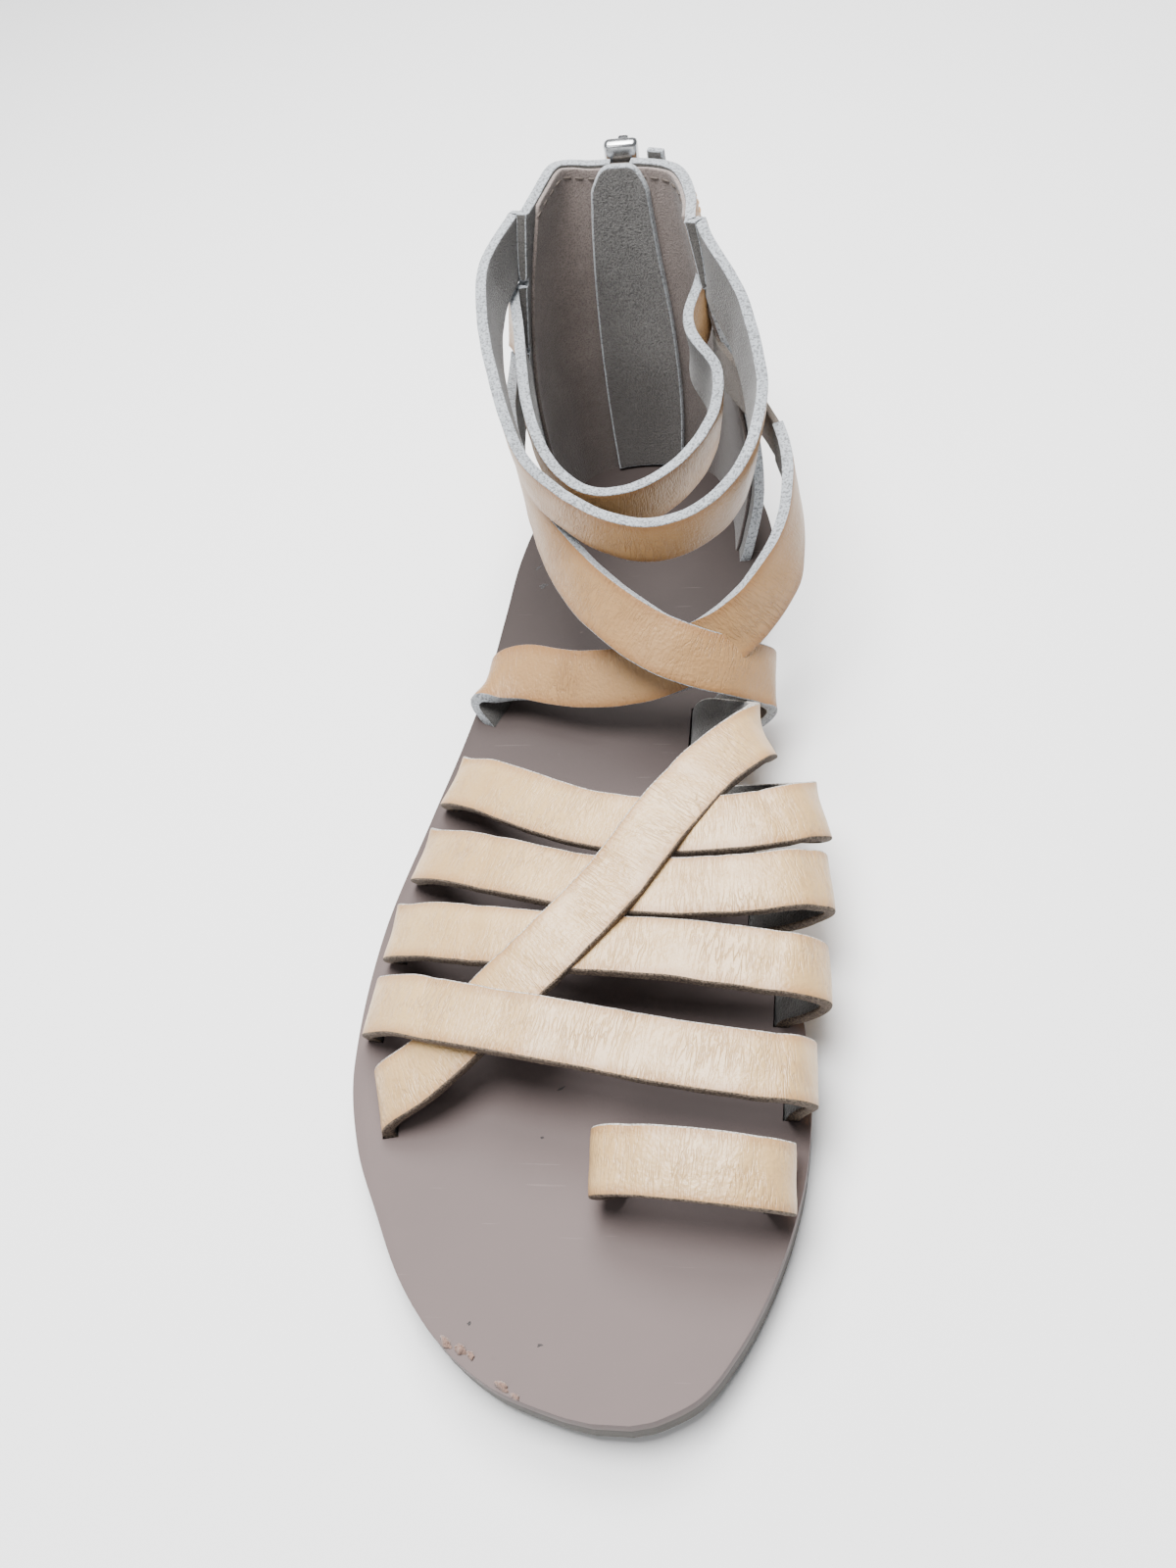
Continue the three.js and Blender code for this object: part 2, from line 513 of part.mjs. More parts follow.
const quarterHeights = levels(QUARTER_FOOT, QUARTER_TOP, 9);
place('quarter_lateral', quarterWall(0, backOuter, 12, 0, QUARTER_WALL, quarterHeights), LEATHER);
place('quarter_medial', quarterWall(backInner, 1, 12, 0, QUARTER_WALL, quarterHeights), LEATHER);

// ---------------------------------------------------------------- zip
// Share of the plan curve taken by one millimetre across the back.
const PER_MM = (backInner - backOuter) / ZIP_REVEAL;
const BACK = (backInner + backOuter) / 2;
const acrossBack = (width, columns, outward, inward, heights) => (
  quarterWall(BACK - (width / 2) * PER_MM, BACK + (width / 2) * PER_MM, columns, outward, inward, heights));
const TAPE_OUT = -0.6;
const TEETH_WIDTH = 4.4;
const TEETH_TOP = 83.4;
const ZIP_FOOT = 10;
place('zip_tape', acrossBack(ZIP_REVEAL - 3 * GAP, 3, TAPE_OUT, 1.8, levels(ZIP_FOOT, 89.4, 8)), FELT);
place('zip_teeth', acrossBack(TEETH_WIDTH, 3, 1.2, -TAPE_OUT - GAP, levels(ZIP_FOOT + 1, TEETH_TOP, 8)), NICKEL);

const guardWall = solidOf(acrossBack(GUARD_WIDTH, 8, -QUARTER_WALL - GAP,
  QUARTER_WALL + GAP + GUARD_THICKNESS, levels(ZIP_FOOT, 91, 8)));
// The guard's outline in rear view, with a rounded top.
const guardOutline = new THREE.Shape();
const GUARD_TOP = 90.6;
const GUARD_CORNER = 7;
const guardHalf = GUARD_WIDTH / 2 + 2;    // a little wider than the guard, so that it only cuts the top
guardOutline.moveTo(-guardHalf, 0);
guardOutline.lineTo(guardHalf, 0);
guardOutline.lineTo(guardHalf, GUARD_TOP - GUARD_CORNER);
guardOutline.quadraticCurveTo(guardHalf - 3, GUARD_TOP, 0, GUARD_TOP);
guardOutline.quadraticCurveTo(-guardHalf + 3, GUARD_TOP, -guardHalf, GUARD_TOP - GUARD_CORNER);
const guardPrism = new THREE.ExtrudeGeometry(guardOutline, { depth: 40, bevelEnabled: false, curveSegments: 8 });
guardPrism.rotateX(Math.PI / 2);
guardPrism.translate(0, HEEL_Y + 10, 0);
place('zip_guard', geometryOf(guardWall.intersect(solidOf(guardPrism))), FELT);

// Small leather tab over the zip's upper end, on the inner quarter.
const END_TAB = { from_zip: 5, width: 5, thickness: 1.6, foot: 80, top: 91.6 };
const tabFrom = backInner + END_TAB.from_zip * PER_MM;
place('zip_end_tab', quarterWall(tabFrom, tabFrom + END_TAB.width * PER_MM, 2,
  GAP + END_TAB.thickness, -GAP, levels(END_TAB.foot, END_TAB.top, 3)), LEATHER);

// Slider: body over the closed teeth, with a bridge that holds the pull tab's top bar.
const SLIDER_FACE = HEEL_Y - 0.1;       // just behind the heel at the slider
const SLIDER = { width: 8.2, foot: 83.8, top: 93.2, depth: 3.2 };
const HINGE = { y: SLIDER_FACE + 5.3, z: 87.6 };
const BRIDGE = { half: 1.2, wall: 1.2, hole_y: 1.3, hole_z: 2.1 };

function rectangle(x0, y0, x1, y1) {
  const shape = new THREE.Shape();
  shape.moveTo(x0, y0);
  shape.lineTo(x1, y0);
  shape.lineTo(x1, y1);
  shape.lineTo(x0, y1);
  shape.closePath();
  return shape;
}

// The slider's body in rear view: shouldered at the top, narrower at the foot.
const body = new THREE.Shape();
body.moveTo(-SLIDER.width * 0.36, SLIDER.foot);
body.lineTo(SLIDER.width * 0.36, SLIDER.foot);
body.lineTo(SLIDER.width * 0.5, SLIDER.top - 3);
body.quadraticCurveTo(SLIDER.width * 0.5, SLIDER.top, SLIDER.width * 0.2, SLIDER.top);
body.lineTo(-SLIDER.width * 0.2, SLIDER.top);
body.quadraticCurveTo(-SLIDER.width * 0.5, SLIDER.top, -SLIDER.width * 0.5, SLIDER.top - 3);
const bodyPrism = new THREE.ExtrudeGeometry(body, { depth: SLIDER.depth, bevelEnabled: false, curveSegments: 6 });
bodyPrism.rotateX(Math.PI / 2);
bodyPrism.translate(0, SLIDER_FACE + SLIDER.depth, 0);
const bridgeFrom = SLIDER_FACE + SLIDER.depth - 0.4;
const bridgeBox = new THREE.BoxGeometry(
  2 * BRIDGE.half,
  HINGE.y + BRIDGE.hole_y + BRIDGE.wall - bridgeFrom,
  2 * (BRIDGE.hole_z + BRIDGE.wall),
);
bridgeBox.translate(0, (HINGE.y + BRIDGE.hole_y + BRIDGE.wall + bridgeFrom) / 2, HINGE.z);
const bridgeHole = new THREE.BoxGeometry(4 * BRIDGE.half, 2 * BRIDGE.hole_y, 2 * BRIDGE.hole_z);
bridgeHole.translate(0, HINGE.y, HINGE.z);
place('zip_slider', geometryOf(
  solidOf(bodyPrism).add(solidOf(bridgeBox)).subtract(solidOf(bridgeHole)),
), NICKEL);

// Pull tab: a flat drop with a window round the bridge, hanging from its top bar.
const PULL = { half: 3.2, bar: PULL_BAR, window_half: 1.9, window_foot: 5.4, length: 21, thickness: 1.3 };
const pull = new THREE.Shape();
pull.moveTo(-PULL.half, HINGE.z + PULL.bar);
pull.lineTo(PULL.half, HINGE.z + PULL.bar);
pull.lineTo(PULL.half * 0.8, HINGE.z - PULL.length + 4);
pull.quadraticCurveTo(PULL.half * 0.8, HINGE.z - PULL.length, 0, HINGE.z - PULL.length);
pull.quadraticCurveTo(-PULL.half * 0.8, HINGE.z - PULL.length, -PULL.half * 0.8, HINGE.z - PULL.length + 4);
pull.holes.push(rectangle(-PULL.window_half, HINGE.z - PULL.window_foot, PULL.window_half, HINGE.z - PULL.bar));
const pullPrism = new THREE.ExtrudeGeometry(pull, { depth: PULL.thickness, bevelEnabled: false, curveSegments: 8 });
pullPrism.rotateX(Math.PI / 2);
pullPrism.translate(0, HINGE.y + PULL.thickness / 2, 0);
place('zip_pull_tab', pullPrism, NICKEL);

// The origin is the centre of the finished object's box, on the floor.
const bounds = new THREE.Box3().setFromObject(sandal);
const centre = bounds.getCenter(new THREE.Vector3());
sandal.position.set(-centre.x, -centre.y, -bounds.min.z);
sandal.updateMatrixWorld(true);

export default sandal;
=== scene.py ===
import functools
import math

import bpy
import numpy as np
from mathutils import Matrix, Vector, noise


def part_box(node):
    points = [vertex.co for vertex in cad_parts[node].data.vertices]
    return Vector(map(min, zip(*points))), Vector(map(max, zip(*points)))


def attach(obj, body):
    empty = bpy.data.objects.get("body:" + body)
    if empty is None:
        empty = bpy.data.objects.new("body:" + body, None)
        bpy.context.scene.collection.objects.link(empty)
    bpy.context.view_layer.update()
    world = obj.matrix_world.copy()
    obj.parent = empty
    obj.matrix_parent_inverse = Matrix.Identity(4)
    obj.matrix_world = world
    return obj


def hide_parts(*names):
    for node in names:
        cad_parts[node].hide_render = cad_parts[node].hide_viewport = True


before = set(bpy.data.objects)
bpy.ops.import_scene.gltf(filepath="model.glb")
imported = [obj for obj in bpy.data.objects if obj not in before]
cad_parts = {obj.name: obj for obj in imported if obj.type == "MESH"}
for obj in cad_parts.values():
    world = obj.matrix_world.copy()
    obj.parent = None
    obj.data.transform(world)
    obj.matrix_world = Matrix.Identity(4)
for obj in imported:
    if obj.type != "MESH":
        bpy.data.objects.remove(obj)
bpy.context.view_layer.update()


# ------------------------------------------------------------------ outsole
# One sheet of dark rubber, moulded with a low heel, a lifted waist and a little toe spring.
# It is cut to the outline, its edge is trimmed and buffed, and the footbed is glued on top.
MM = 0.001
HEEL_Y = 28.0                 # heel end of the sole in the tables' own millimetres
SOLE_LENGTH = 255.0
OUTLINE = [                   # distance from the heel, half width to the inner and the outer side
    (0.0, 5.0, 2.0), (3.0, 13.0, 9.5), (15.3, 23.8, 19.8), (29.0, 30.0, 27.2), (45.9, 32.6, 31.1),
    (66.0, 29.0, 32.8), (86.7, 24.9, 34.6), (107.0, 23.4, 37.8), (127.5, 26.4, 42.0),
    (158.1, 36.2, 47.8), (188.7, 41.0, 48.6), (206.0, 40.6, 44.8), (219.3, 38.0, 38.6),
    (232.0, 33.6, 31.8), (242.3, 28.4, 23.2), (250.0, 22.6, 12.4), (254.0, 15.6, 0.5),
    (255.0, 11.5, -5.0),
]
PROFILE = [                   # distance from the heel, height of the underside, top of the footbed
    (0, 0.6, 9.6), (8, 0.0, 9.4), (70, 0.0, 9.0), (92, 1.6, 8.9), (118, 1.8, 8.7), (142, 0.0, 8.5),
    (206, 0.0, 8.5), (232, 1.5, 9.4), (255, 4.2, 11.6),
]
FOOTBED_THICKNESS = 3.0


def smooth_column(table, column, at):
    """Value of a table's column on a smooth curve through its rows."""
    keys = [row[0] for row in table]
    last = len(table) - 1
    i = min(max(int(np.searchsorted(keys, at, side="right")) - 1, 0), last - 1)
    before, a, b, after = (table[k] for k in (max(i - 1, 0), i, i + 1, min(i + 2, last)))
    span = b[0] - a[0]
    t = min(max((at - a[0]) / span, 0.0), 1.0)
    chord = (b[column] - a[column]) / span
    slope_a = (b[column] - before[column]) / (b[0] - before[0]) if i > 0 else chord
    slope_b = (after[column] - a[column]) / (after[0] - a[0]) if i + 2 <= last else chord
    t2, t3 = t * t, t * t * t
    return ((2 * t3 - 3 * t2 + 1) * a[column] + (t3 - 2 * t2 + t) * span * slope_a
            + (3 * t2 - 2 * t3) * b[column] + (t3 - t2) * span * slope_b)


def straight_column(table, column, at):
    return float(np.interp(at, [row[0] for row in table], [row[column] for row in table]))


# The tables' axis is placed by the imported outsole: its heel end and its outermost edge.
sole_low, sole_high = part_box("outsole")
widest = max(smooth_column(OUTLINE, 2, SOLE_LENGTH * i / 2000) for i in range(2001))
SHIFT = Vector((sole_low.x + widest * MM, sole_high.y - HEEL_Y * MM, 0.0))


def at_mm(x, y, z):
    """A point of the tables, in metres in the row frame."""
    return Vector((x * MM, y * MM, z * MM)) + SHIFT


def footbed_top(s):
    return straight_column(PROFILE, 2, s)


def sole_under(s):
    return max(0.0, straight_column(PROFILE, 1, s))


def deselect():
    bpy.ops.object.select_all(action="DESELECT")


def select_only(piece):
    deselect()
    piece.select_set(True)
    bpy.context.view_layer.objects.active = piece


def edit_whole(piece):
    """Edit mode with all of the piece selected."""
    select_only(piece)
    bpy.ops.object.mode_set(mode="EDIT")
    bpy.ops.mesh.select_all(action="SELECT")


def leave_edit():
    bpy.ops.object.mode_set(mode="OBJECT")


def grid_piece(name, columns, rows):
    """A new flat grid; its vertices are then placed by their column and row."""
    deselect()
    bpy.ops.mesh.primitive_grid_add(x_subdivisions=columns, y_subdivisions=rows, size=2)
    piece = bpy.context.object
    piece.name = name
    piece.data.name = name
    return piece


def place_grid(piece, columns, rows, point, size):
    """Moves the grid's vertices to point(u, v), and sizes its UV map in metres."""
    for vertex in piece.data.vertices:
        u = round((vertex.co.x + 1) / 2 * columns) / columns
        v = round((vertex.co.y + 1) / 2 * rows) / rows
        vertex.co = point(u, v)
    for loop in piece.data.uv_layers[0].data:
        loop.uv = (loop.uv[0] * size[0], loop.uv[1] * size[1])
    piece.data.update()


def apply_modifiers(piece):
    select_only(piece)
    for modifier in list(piece.modifiers):
        bpy.ops.object.modifier_apply(modifier=modifier.name)


def smooth(piece, angle=35):
    select_only(piece)
    bpy.ops.object.shade_smooth_by_angle(angle=math.radians(angle))


def outward(piece):
    """Faces point out of a closed piece."""
    edit_whole(piece)
    bpy.ops.mesh.normals_make_consistent(inside=False)
    leave_edit()


SOLE_COLUMNS, SOLE_ROWS = 200, 36
SOLE_SPREAD = (0.255, 0.09)   # length and width of the sole's UV map, in metres


def sole_sheet(name, top, under, trim):
    """A closed layer of the sole between two heights, its outline drawn in by trim."""
    piece = grid_piece(name, SOLE_COLUMNS, SOLE_ROWS)

    def on_sheet(u, v, height):
        s = SOLE_LENGTH * (1 - math.cos(math.pi * u)) / 2
        inner = smooth_column(OUTLINE, 1, s)
        outer = -smooth_column(OUTLINE, 2, s)
        x = outer + (inner - outer) * v
        centre = (inner + outer) / 2
        x = centre + (x - centre) * (1 - trim / max(inner - centre, 1.0))
        y = HEEL_Y - trim - (SOLE_LENGTH - 2 * trim) * (s / SOLE_LENGTH)
        return at_mm(x, y, height(s))

    place_grid(piece, SOLE_COLUMNS, SOLE_ROWS, lambda u, v: on_sheet(u, v, top), SOLE_SPREAD)
    edit_whole(piece)
    bpy.ops.mesh.extrude_region_move(TRANSFORM_OT_translate={"value": (0, 0, -0.05)})
    leave_edit()
    for vertex in piece.data.vertices:
        if vertex.select:
            s = HEEL_Y - (vertex.co.y - SHIFT.y) / MM
            s = min(max((s - trim) * SOLE_LENGTH / (SOLE_LENGTH - 2 * trim), 0), SOLE_LENGTH)
            vertex.co.z = under(s) * MM
    outward(piece)
    return piece


def rim_bevel(piece, width, segments=3, angle=50, finish=-1):
    bevel = piece.modifiers.new("edge", "BEVEL")
    bevel.width = width
    bevel.segments = segments
    bevel.limit_method = "ANGLE"
    bevel.angle_limit = math.radians(angle)
    bevel.use_clamp_overlap = True
    bevel.material = finish
    apply_modifiers(piece)


def material(name):
    made = bpy.data.materials.new(name)
    made.use_nodes = True
    return made, made.node_tree, made.node_tree.nodes["Principled BSDF"]


def feed(tree, socket, value):
    """Links a socket to another, or sets it to a plain value."""
    if isinstance(value, bpy.types.NodeSocket):
        tree.links.new(value, socket)
    else:
        socket.default_value = value


def add_node(tree, kind, inputs=(), **settings):
    """A new node with its settings and its input values or links."""
    made = tree.nodes.new(kind)
    for key, value in settings.items():
        setattr(made, key, value)
    for key, value in dict(inputs).items():
        feed(tree, made.inputs[key], value)
    return made


def math_node(tree, operation, *values):
    made = tree.nodes.new("ShaderNodeMath")
    made.operation = operation
    for socket, value in zip(made.inputs, values):
        feed(tree, socket, value)
    return made.outputs[0]


def times(tree, value, factor):
    return math_node(tree, "MULTIPLY", value, factor)


def rest_of(tree, value):
    """What is left of one."""
    return math_node(tree, "SUBTRACT", 1.0, value)


def mix_colour(tree, factor, a, b):
    made = tree.nodes.new("ShaderNodeMix")
    made.data_type = "RGBA"
    colour_a, colour_b = made.inputs[6], made.inputs[7]
    for socket, value in ((made.inputs["Factor"], factor), (colour_a, a), (colour_b, b)):
        feed(tree, socket, value)
    return made.outputs[2]


def smooth_step(tree, value, low, high):
    made = add_node(tree, "ShaderNodeMapRange", {"Value": value, "From Min": low, "From Max": high},
                    interpolation_type="SMOOTHSTEP")
    return made.outputs["Result"]


def noise_of(tree, vector, scale, detail=3.0, roughness=0.55, distortion=0.0):
    made = add_node(tree, "ShaderNodeTexNoise", {"Vector": vector, "Scale": scale, "Detail": detail,
                                                 "Roughness": roughness, "Distortion": distortion})
    return made.outputs["Fac"]


def colour(red, green, blue):
    """A linear colour from red, green and blue between 0 and 255."""
    return tuple(((c / 255) / 12.92 if c <= 10 else ((c / 255 + 0.055) / 1.055) ** 2.4)
                 for c in (red, green, blue)) + (1.0,)


def new_group(name, inputs, outputs):
    """An empty shader group with named sockets, and its two ends."""
    group = bpy.data.node_groups.new(name, "ShaderNodeTree")
    for label, kind, value in inputs:
        socket = group.interface.new_socket(name=label, in_out="INPUT", socket_type=kind)
        if value is not None:
            socket.default_value = value
    for label, kind in outputs:
        group.interface.new_socket(name=label, in_out="OUTPUT", socket_type=kind)
    return group, group.nodes.new("NodeGroupInput"), group.nodes.new("NodeGroupOutput")


def use_group(tree, group, inputs):
    return add_node(tree, "ShaderNodeGroup", inputs, node_tree=group)


def finish_nodes(tree, shader, base, roughness, height, strength, distance):
    """Feeds a shader its colour, its roughness and a bump from a height."""
    feed(tree, shader.inputs["Base Color"], base)
    feed(tree, shader.inputs["Roughness"], roughness)
    bump = add_node(tree, "ShaderNodeBump", {"Height": height, "Strength": strength, "Distance": distance})
    feed(tree, shader.inputs["Normal"], bump.outputs["Normal"])


# Dust and rub marks: broad soft mottling with fine specks, used by most of the finishes.
FLOAT, VECTOR = "NodeSocketFloat", "NodeSocketVector"
rub_group, rub_in, rub_out = new_group(
    "rub_and_specks", [("Vector", VECTOR, None), ("Size", FLOAT, 1.0)],
    [("Mottle", FLOAT), ("Specks", FLOAT), ("Fine", FLOAT)])
rub_place, rub_size = rub_in.outputs["Vector"], rub_in.outputs["Size"]
rub_mottle = noise_of(rub_group, rub_place, times(rub_group, rub_size, 60.0), 4.0, 0.6, 0.4)
rub_specks = noise_of(rub_group, rub_place, times(rub_group, rub_size, 900.0), 2.0, 0.5)
rub_fine = noise_of(rub_group, rub_place, times(rub_group, rub_size, 2600.0), 2.0, 0.6)
feed(rub_group, rub_out.inputs["Mottle"], rub_mottle)
feed(rub_group, rub_out.inputs["Specks"], smooth_step(rub_group, rub_specks, 0.62, 0.74))
feed(rub_group, rub_out.inputs["Fine"], rub_fine)


def object_coords(tree):
    return tree.nodes.new("ShaderNodeTexCoord").outputs["Object"]


def sole_edge_material():
    """Buffed rubber: dark olive grey, with fine lines left along the edge by the trimming wheel."""
    made, tree, shader = material("sole_rubber")
    place = object_coords(tree)
    rub = use_group(tree, rub_group, {"Vector": place, "Size": 1.0})
    stretched = add_node(tree, "ShaderNodeMapping", {"Vector": place, "Scale": (60, 60, 2200)})
    lines = noise_of(tree, stretched.outputs["Vector"], 1.0, 3.0)
    base = mix_colour(tree, rub.outputs["Mottle"], colour(38, 35, 30), colour(56, 52, 46))
    base = mix_colour(tree, times(tree, lines, 0.4), base, colour(84, 78, 70))
    height = math_node(tree, "ADD", lines, times(tree, rub.outputs["Fine"], 0.6))
    roughness = math_node(tree, "MULTIPLY_ADD", lines, 0.25, 0.55)
    finish_nodes(tree, shader, base, roughness, height, 0.5, 0.0002)
    return made


SOLE_TRIM = 0.15              # the rubber is trimmed back under the footbed's edge
GLUE_LINE = 0.02


def rubber_top(s):
    return footbed_top(s) - FOOTBED_THICKNESS - GLUE_LINE


outsole = sole_sheet("outsole_sheet", rubber_top, sole_under, SOLE_TRIM)
rim_bevel(outsole, 0.0007)
smooth(outsole)
outsole.data.materials.append(sole_edge_material())
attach(outsole, "shoe")
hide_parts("outsole")


# ------------------------------------------------------------------ straps
# Strips of tan leather: waxed on the grain side, fuzzy on the flesh side, with raw cut edges. Each is
# pushed through its slots in the footbed, and the foot has set soft creases across it.
STRAP_WIDTH = 12.5
STRAP_THICKNESS = 2.4
STRAP_COLUMNS = 12            # faces across a strap
STRAP_STEP = 0.8              # length of one face along a strap
SLACK_LENGTH = 14.0           # over this length from its ends a strap's waviness grows to its full height
SINK_LENGTH = 11.0            # and over this length an end that lies behind a quarter goes inwards
TOE_LOOP = [                  # centre line x, y, z, then the direction of the width
    (7.0, -180.0, 6.2, 0, 1, 0), (6.6, -180.4, 10.0, 0, 1, 0), (3.0, -183.2, 15.0, 0, 1, 0.1),
    (4.2, -185.0, 21.0, 0, 1, 0.2), (12.5, -186.4, 24.4, 0, 1, 0.25), (22.5, -187.4, 25.0, 0, 1, 0.25),
    (31.5, -188.0, 24.2, 0, 1, 0.25), (37.4, -186.8, 19.6, 0, 1, 0.2), (36.4, -184.0, 13.4, 0, 1, 0.1),
    (34.2, -182.4, 9.6, 0, 1, 0), (33.8, -182.2, 6.2, 0, 1, 0),
]
FRONT_STRAP = [
    (-44.2, -149.0, 6.2, 0.1, 1, 0), (-45.2, -149.2, 9.8, 0.1, 1, 0),
    (-44.6, -151.1, 14.6, 0.1, 1, 0.05), (-37.1, -153.9, 20.4, 0.1, 1, 0.1),
    (-25.7, -158.2, 24.8, 0.1, 1, 0.1), (-11.2, -161.9, 26.9, 0.1, 1, 0.1),
    (2.6, -164.4, 27.2, 0.1, 1, 0.1), (16.2, -167.1, 27.5, 0.1, 1, 0.1),
    (29.6, -169.1, 27.8, 0.1, 1, 0.1), (38.4, -168.8, 25.4, 0, 1, 0.1),
    (41.4, -166.4, 18.6, 0, 1, 0.05), (38.6, -164.6, 11.4, 0, 1, 0), (37.2, -164.0, 6.2, 0, 1, 0),
]
THIRD_STRAP = [
    (-42.4, -130.8, 6.2, 0.1, 1, 0), (-43.2, -131.0, 9.6, 0.1, 1, 0), (-43.2, -134.0, 14.6, 0.1, 1, 0),
    (-36.5, -136.4, 19.5, 0, 1, 0), (-26.1, -139.9, 24.0, 0, 1, 0), (-13.1, -143.0, 26.8, 0, 1, 0),
    (1.1, -144.8, 28.0, 0, 1, 0), (15.2, -146.1, 28.5, 0, 1, 0.05), (29.2, -148.1, 29.0, 0, 1, 0.1),
    (39.6, -148.6, 27.2, 0, 1, 0.1), (44.2, -146.8, 20.6, -0.06, 1, 0.05),
    (40.0, -145.4, 12.8, 0, 1, 0), (35.8, -144.6, 9.4, 0, 1, 0), (35.2, -144.4, 6.2, 0, 1, 0),
]
FOURTH_STRAP = [
    (-39.2, -110.4, 6.2, 0.2, 1, 0), (-39.8, -110.8, 9.6, 0.2, 1, 0), (-39.8, -114.6, 14.6, 0.2, 1, 0),
    (-32.8, -118.5, 20.0, 0.1, 1, 0), (-19.7, -124.6, 25.0, -0.05, 1, 0), (-6.3, -129.6, 27.5, 0, 1, 0),
    (6.3, -131.8, 28.5, 0, 1, 0.05), (18.7, -132.6, 29.5, 0, 1, 0.1),
    (31.0, -132.0, 30.0, -0.05, 1, 0.12), (40.5, -129.2, 27.8, -0.12, 1, 0.1),
    (44.6, -126.4, 21.4, -0.12, 1, 0.1), (37.6, -124.6, 13.0, -0.05, 1, 0.05),
    (30.4, -124.2, 9.4, 0, 1, 0), (29.6, -124.2, 6.2, 0, 1, 0),
]
FIFTH_STRAP = [
    (-34.6, -91.0, 6.2, 0.35, 1, 0), (-35.2, -91.2, 9.6, 0.35, 1, 0), (-36.2, -94.6, 14.2, 0.3, 1, 0),
    (-29.6, -98.6, 19.0, 0.1, 1, 0.05), (-17.7, -106.6, 23.8, -0.15, 1, 0.05),
    (-5.6, -113.6, 27.0, -0.1, 1, 0.05), (7.6, -117.6, 29.2, 0, 1, 0.1),
    (20.4, -118.6, 30.4, -0.05, 1, 0.1), (31.0, -117.8, 31.0, -0.1, 1, 0.12),
    (39.4, -114.4, 29.0, -0.25, 1, 0.12), (42.6, -109.6, 22.6, -0.3, 1, 0.1),
    (33.6, -102.6, 14.0, -0.1, 1, 0.1), (22.6, -100.2, 10.2, 0, 1, 0), (21.4, -100.0, 6.2, 0, 1, 0),
]
DIAGONAL_STRAP = [
    (-39.2, -169.6, 6.2, -0.2, 1, 0), (-40.6, -169.8, 9.0, -0.2, 1, 0.05),
    (-39.6, -169.6, 13.0, -0.35, 1, 0.15), (-31.4, -166.4, 18.0, -0.7, 1, 0),
    (-23.6, -160.0, 21.8, -0.9, 1, 0), (-14.0, -152.0, 26.6, -1.4, 1, 0),
    (-5.0, -143.4, 29.7, -1.6, 1, 0), (4.5, -130.8, 30.7, -1.7, 1, 0),
    (13.0, -117.0, 32.0, -1.5, 1, 0.1), (21.6, -105.0, 32.2, -1.2, 1, 0.15),
    (29.0, -95.6, 29.4, -0.6, 1, 0.15), (30.6, -89.4, 24.0, -0.3, 1, 0.15),
    (24.4, -82.0, 17.0, -0.1, 1, 0.1), (17.6, -76.8, 12.4, 0, 1, 0.1), (15.8, -75.4, 9.0, 0, 1, 0),
    (15.6, -75.2, 6.2, 0, 1, 0),
]
INSTEP_OVER = [
    (19.4, -72.6, 6.2, 0, 1, 0), (20.6, -72.4, 9.4, 0, 1, 0), (28.4, -71.8, 13.2, 0, 1, 0.3),
    (32.8, -71.6, 20.6, 0, 0.8, 0.6), (27.4, -75.4, 28.8, 0.35, 0.8, 0.5),
    (17.0, -76.8, 34.6, 0.28, 0.7, 0.66), (8.0, -74.4, 38.0, 0.48, 0.58, 0.65),
    (0.2, -69.0, 40.4, 0.6, 0.3, 0.74), (-6.9, -61.4, 41.6, 0.5, 0.2, 0.8),
    (-13.5, -51.8, 43.4, 0.4, 0, 0.9), (-18.0, -43.6, 46.4, 0.2, -0.1, 1),
    (-22.0, -33.4, 50.2, 0, 0, 1), (-25.2, -20.0, 52.0, -0.05, 0, 1), (-25.8, -6.0, 52.0, -0.05, 0, 1),
    (-25.0, 0.2, 51.8, -0.03, 0, 1),
]
INSTEP_UNDER = [
    (-29.6, -67.0, 6.2, 0.4, 1, 0), (-30.4, -66.8, 9.4, 0.4, 1, 0), (-33.2, -65.0, 13.6, 0.45, 1, 0.15),
    (-25.0, -65.0, 18.0, 0.2, 0.95, 0.5), (-11.5, -69.8, 20.8, 0.2, 0.8, 0.8),
    (0.3, -72.0, 23.6, 0.3, 0.65, 0.8), (9.5, -73.2, 27.4, 0.35, 0.65, 0.8),
    (17.2, -73.4, 31.7, 0.35, 0.65, 0.75), (24.4, -71.6, 36.2, 0.36, 0.4, 0.9),
    (30.6, -68.2, 41.0, 0.25, 0.45, 0.95), (35.6, -62.4, 45.8, 0, 0.5, 1),
    (38.0, -54.4, 50.4, -0.1, 0.4, 1), (37.8, -43.6, 55.0, -0.15, 0.3, 1),
    (35.4, -34.6, 57.0, -0.12, 0.15, 1),
]
ANKLE_OUTER = [
    (-22.4, 8.2, 81.4, 0, 0.1, 1), (-27.2, -1.6, 79.8, -0.12, 0.1, 1),
    (-27.6, -15.4, 76.2, -0.12, 0.1, 1), (-23.0, -35.0, 68.8, -0.15, 0, 1),
    (-17.6, -48.0, 62.0, -0.12, -0.12, 1), (-10.8, -53.8, 58.0, -0.1, -0.18, 1),
    (-0.7, -58.5, 54.2, 0, -0.2, 1), (8.8, -59.8, 52.6, 0.05, -0.2, 1),
    (18.6, -57.2, 54.0, 0.1, -0.18, 1), (26.6, -50.8, 58.0, 0.14, -0.12, 1),
    (31.0, -36.2, 65.0, 0.18, 0, 1), (27.4, -16.6, 73.8, 0.12, 0.1, 1),
    (22.2, -6.4, 79.0, 0.08, 0.1, 1), (18.0, 1.2, 81.4, 0, 0.1, 1),
]
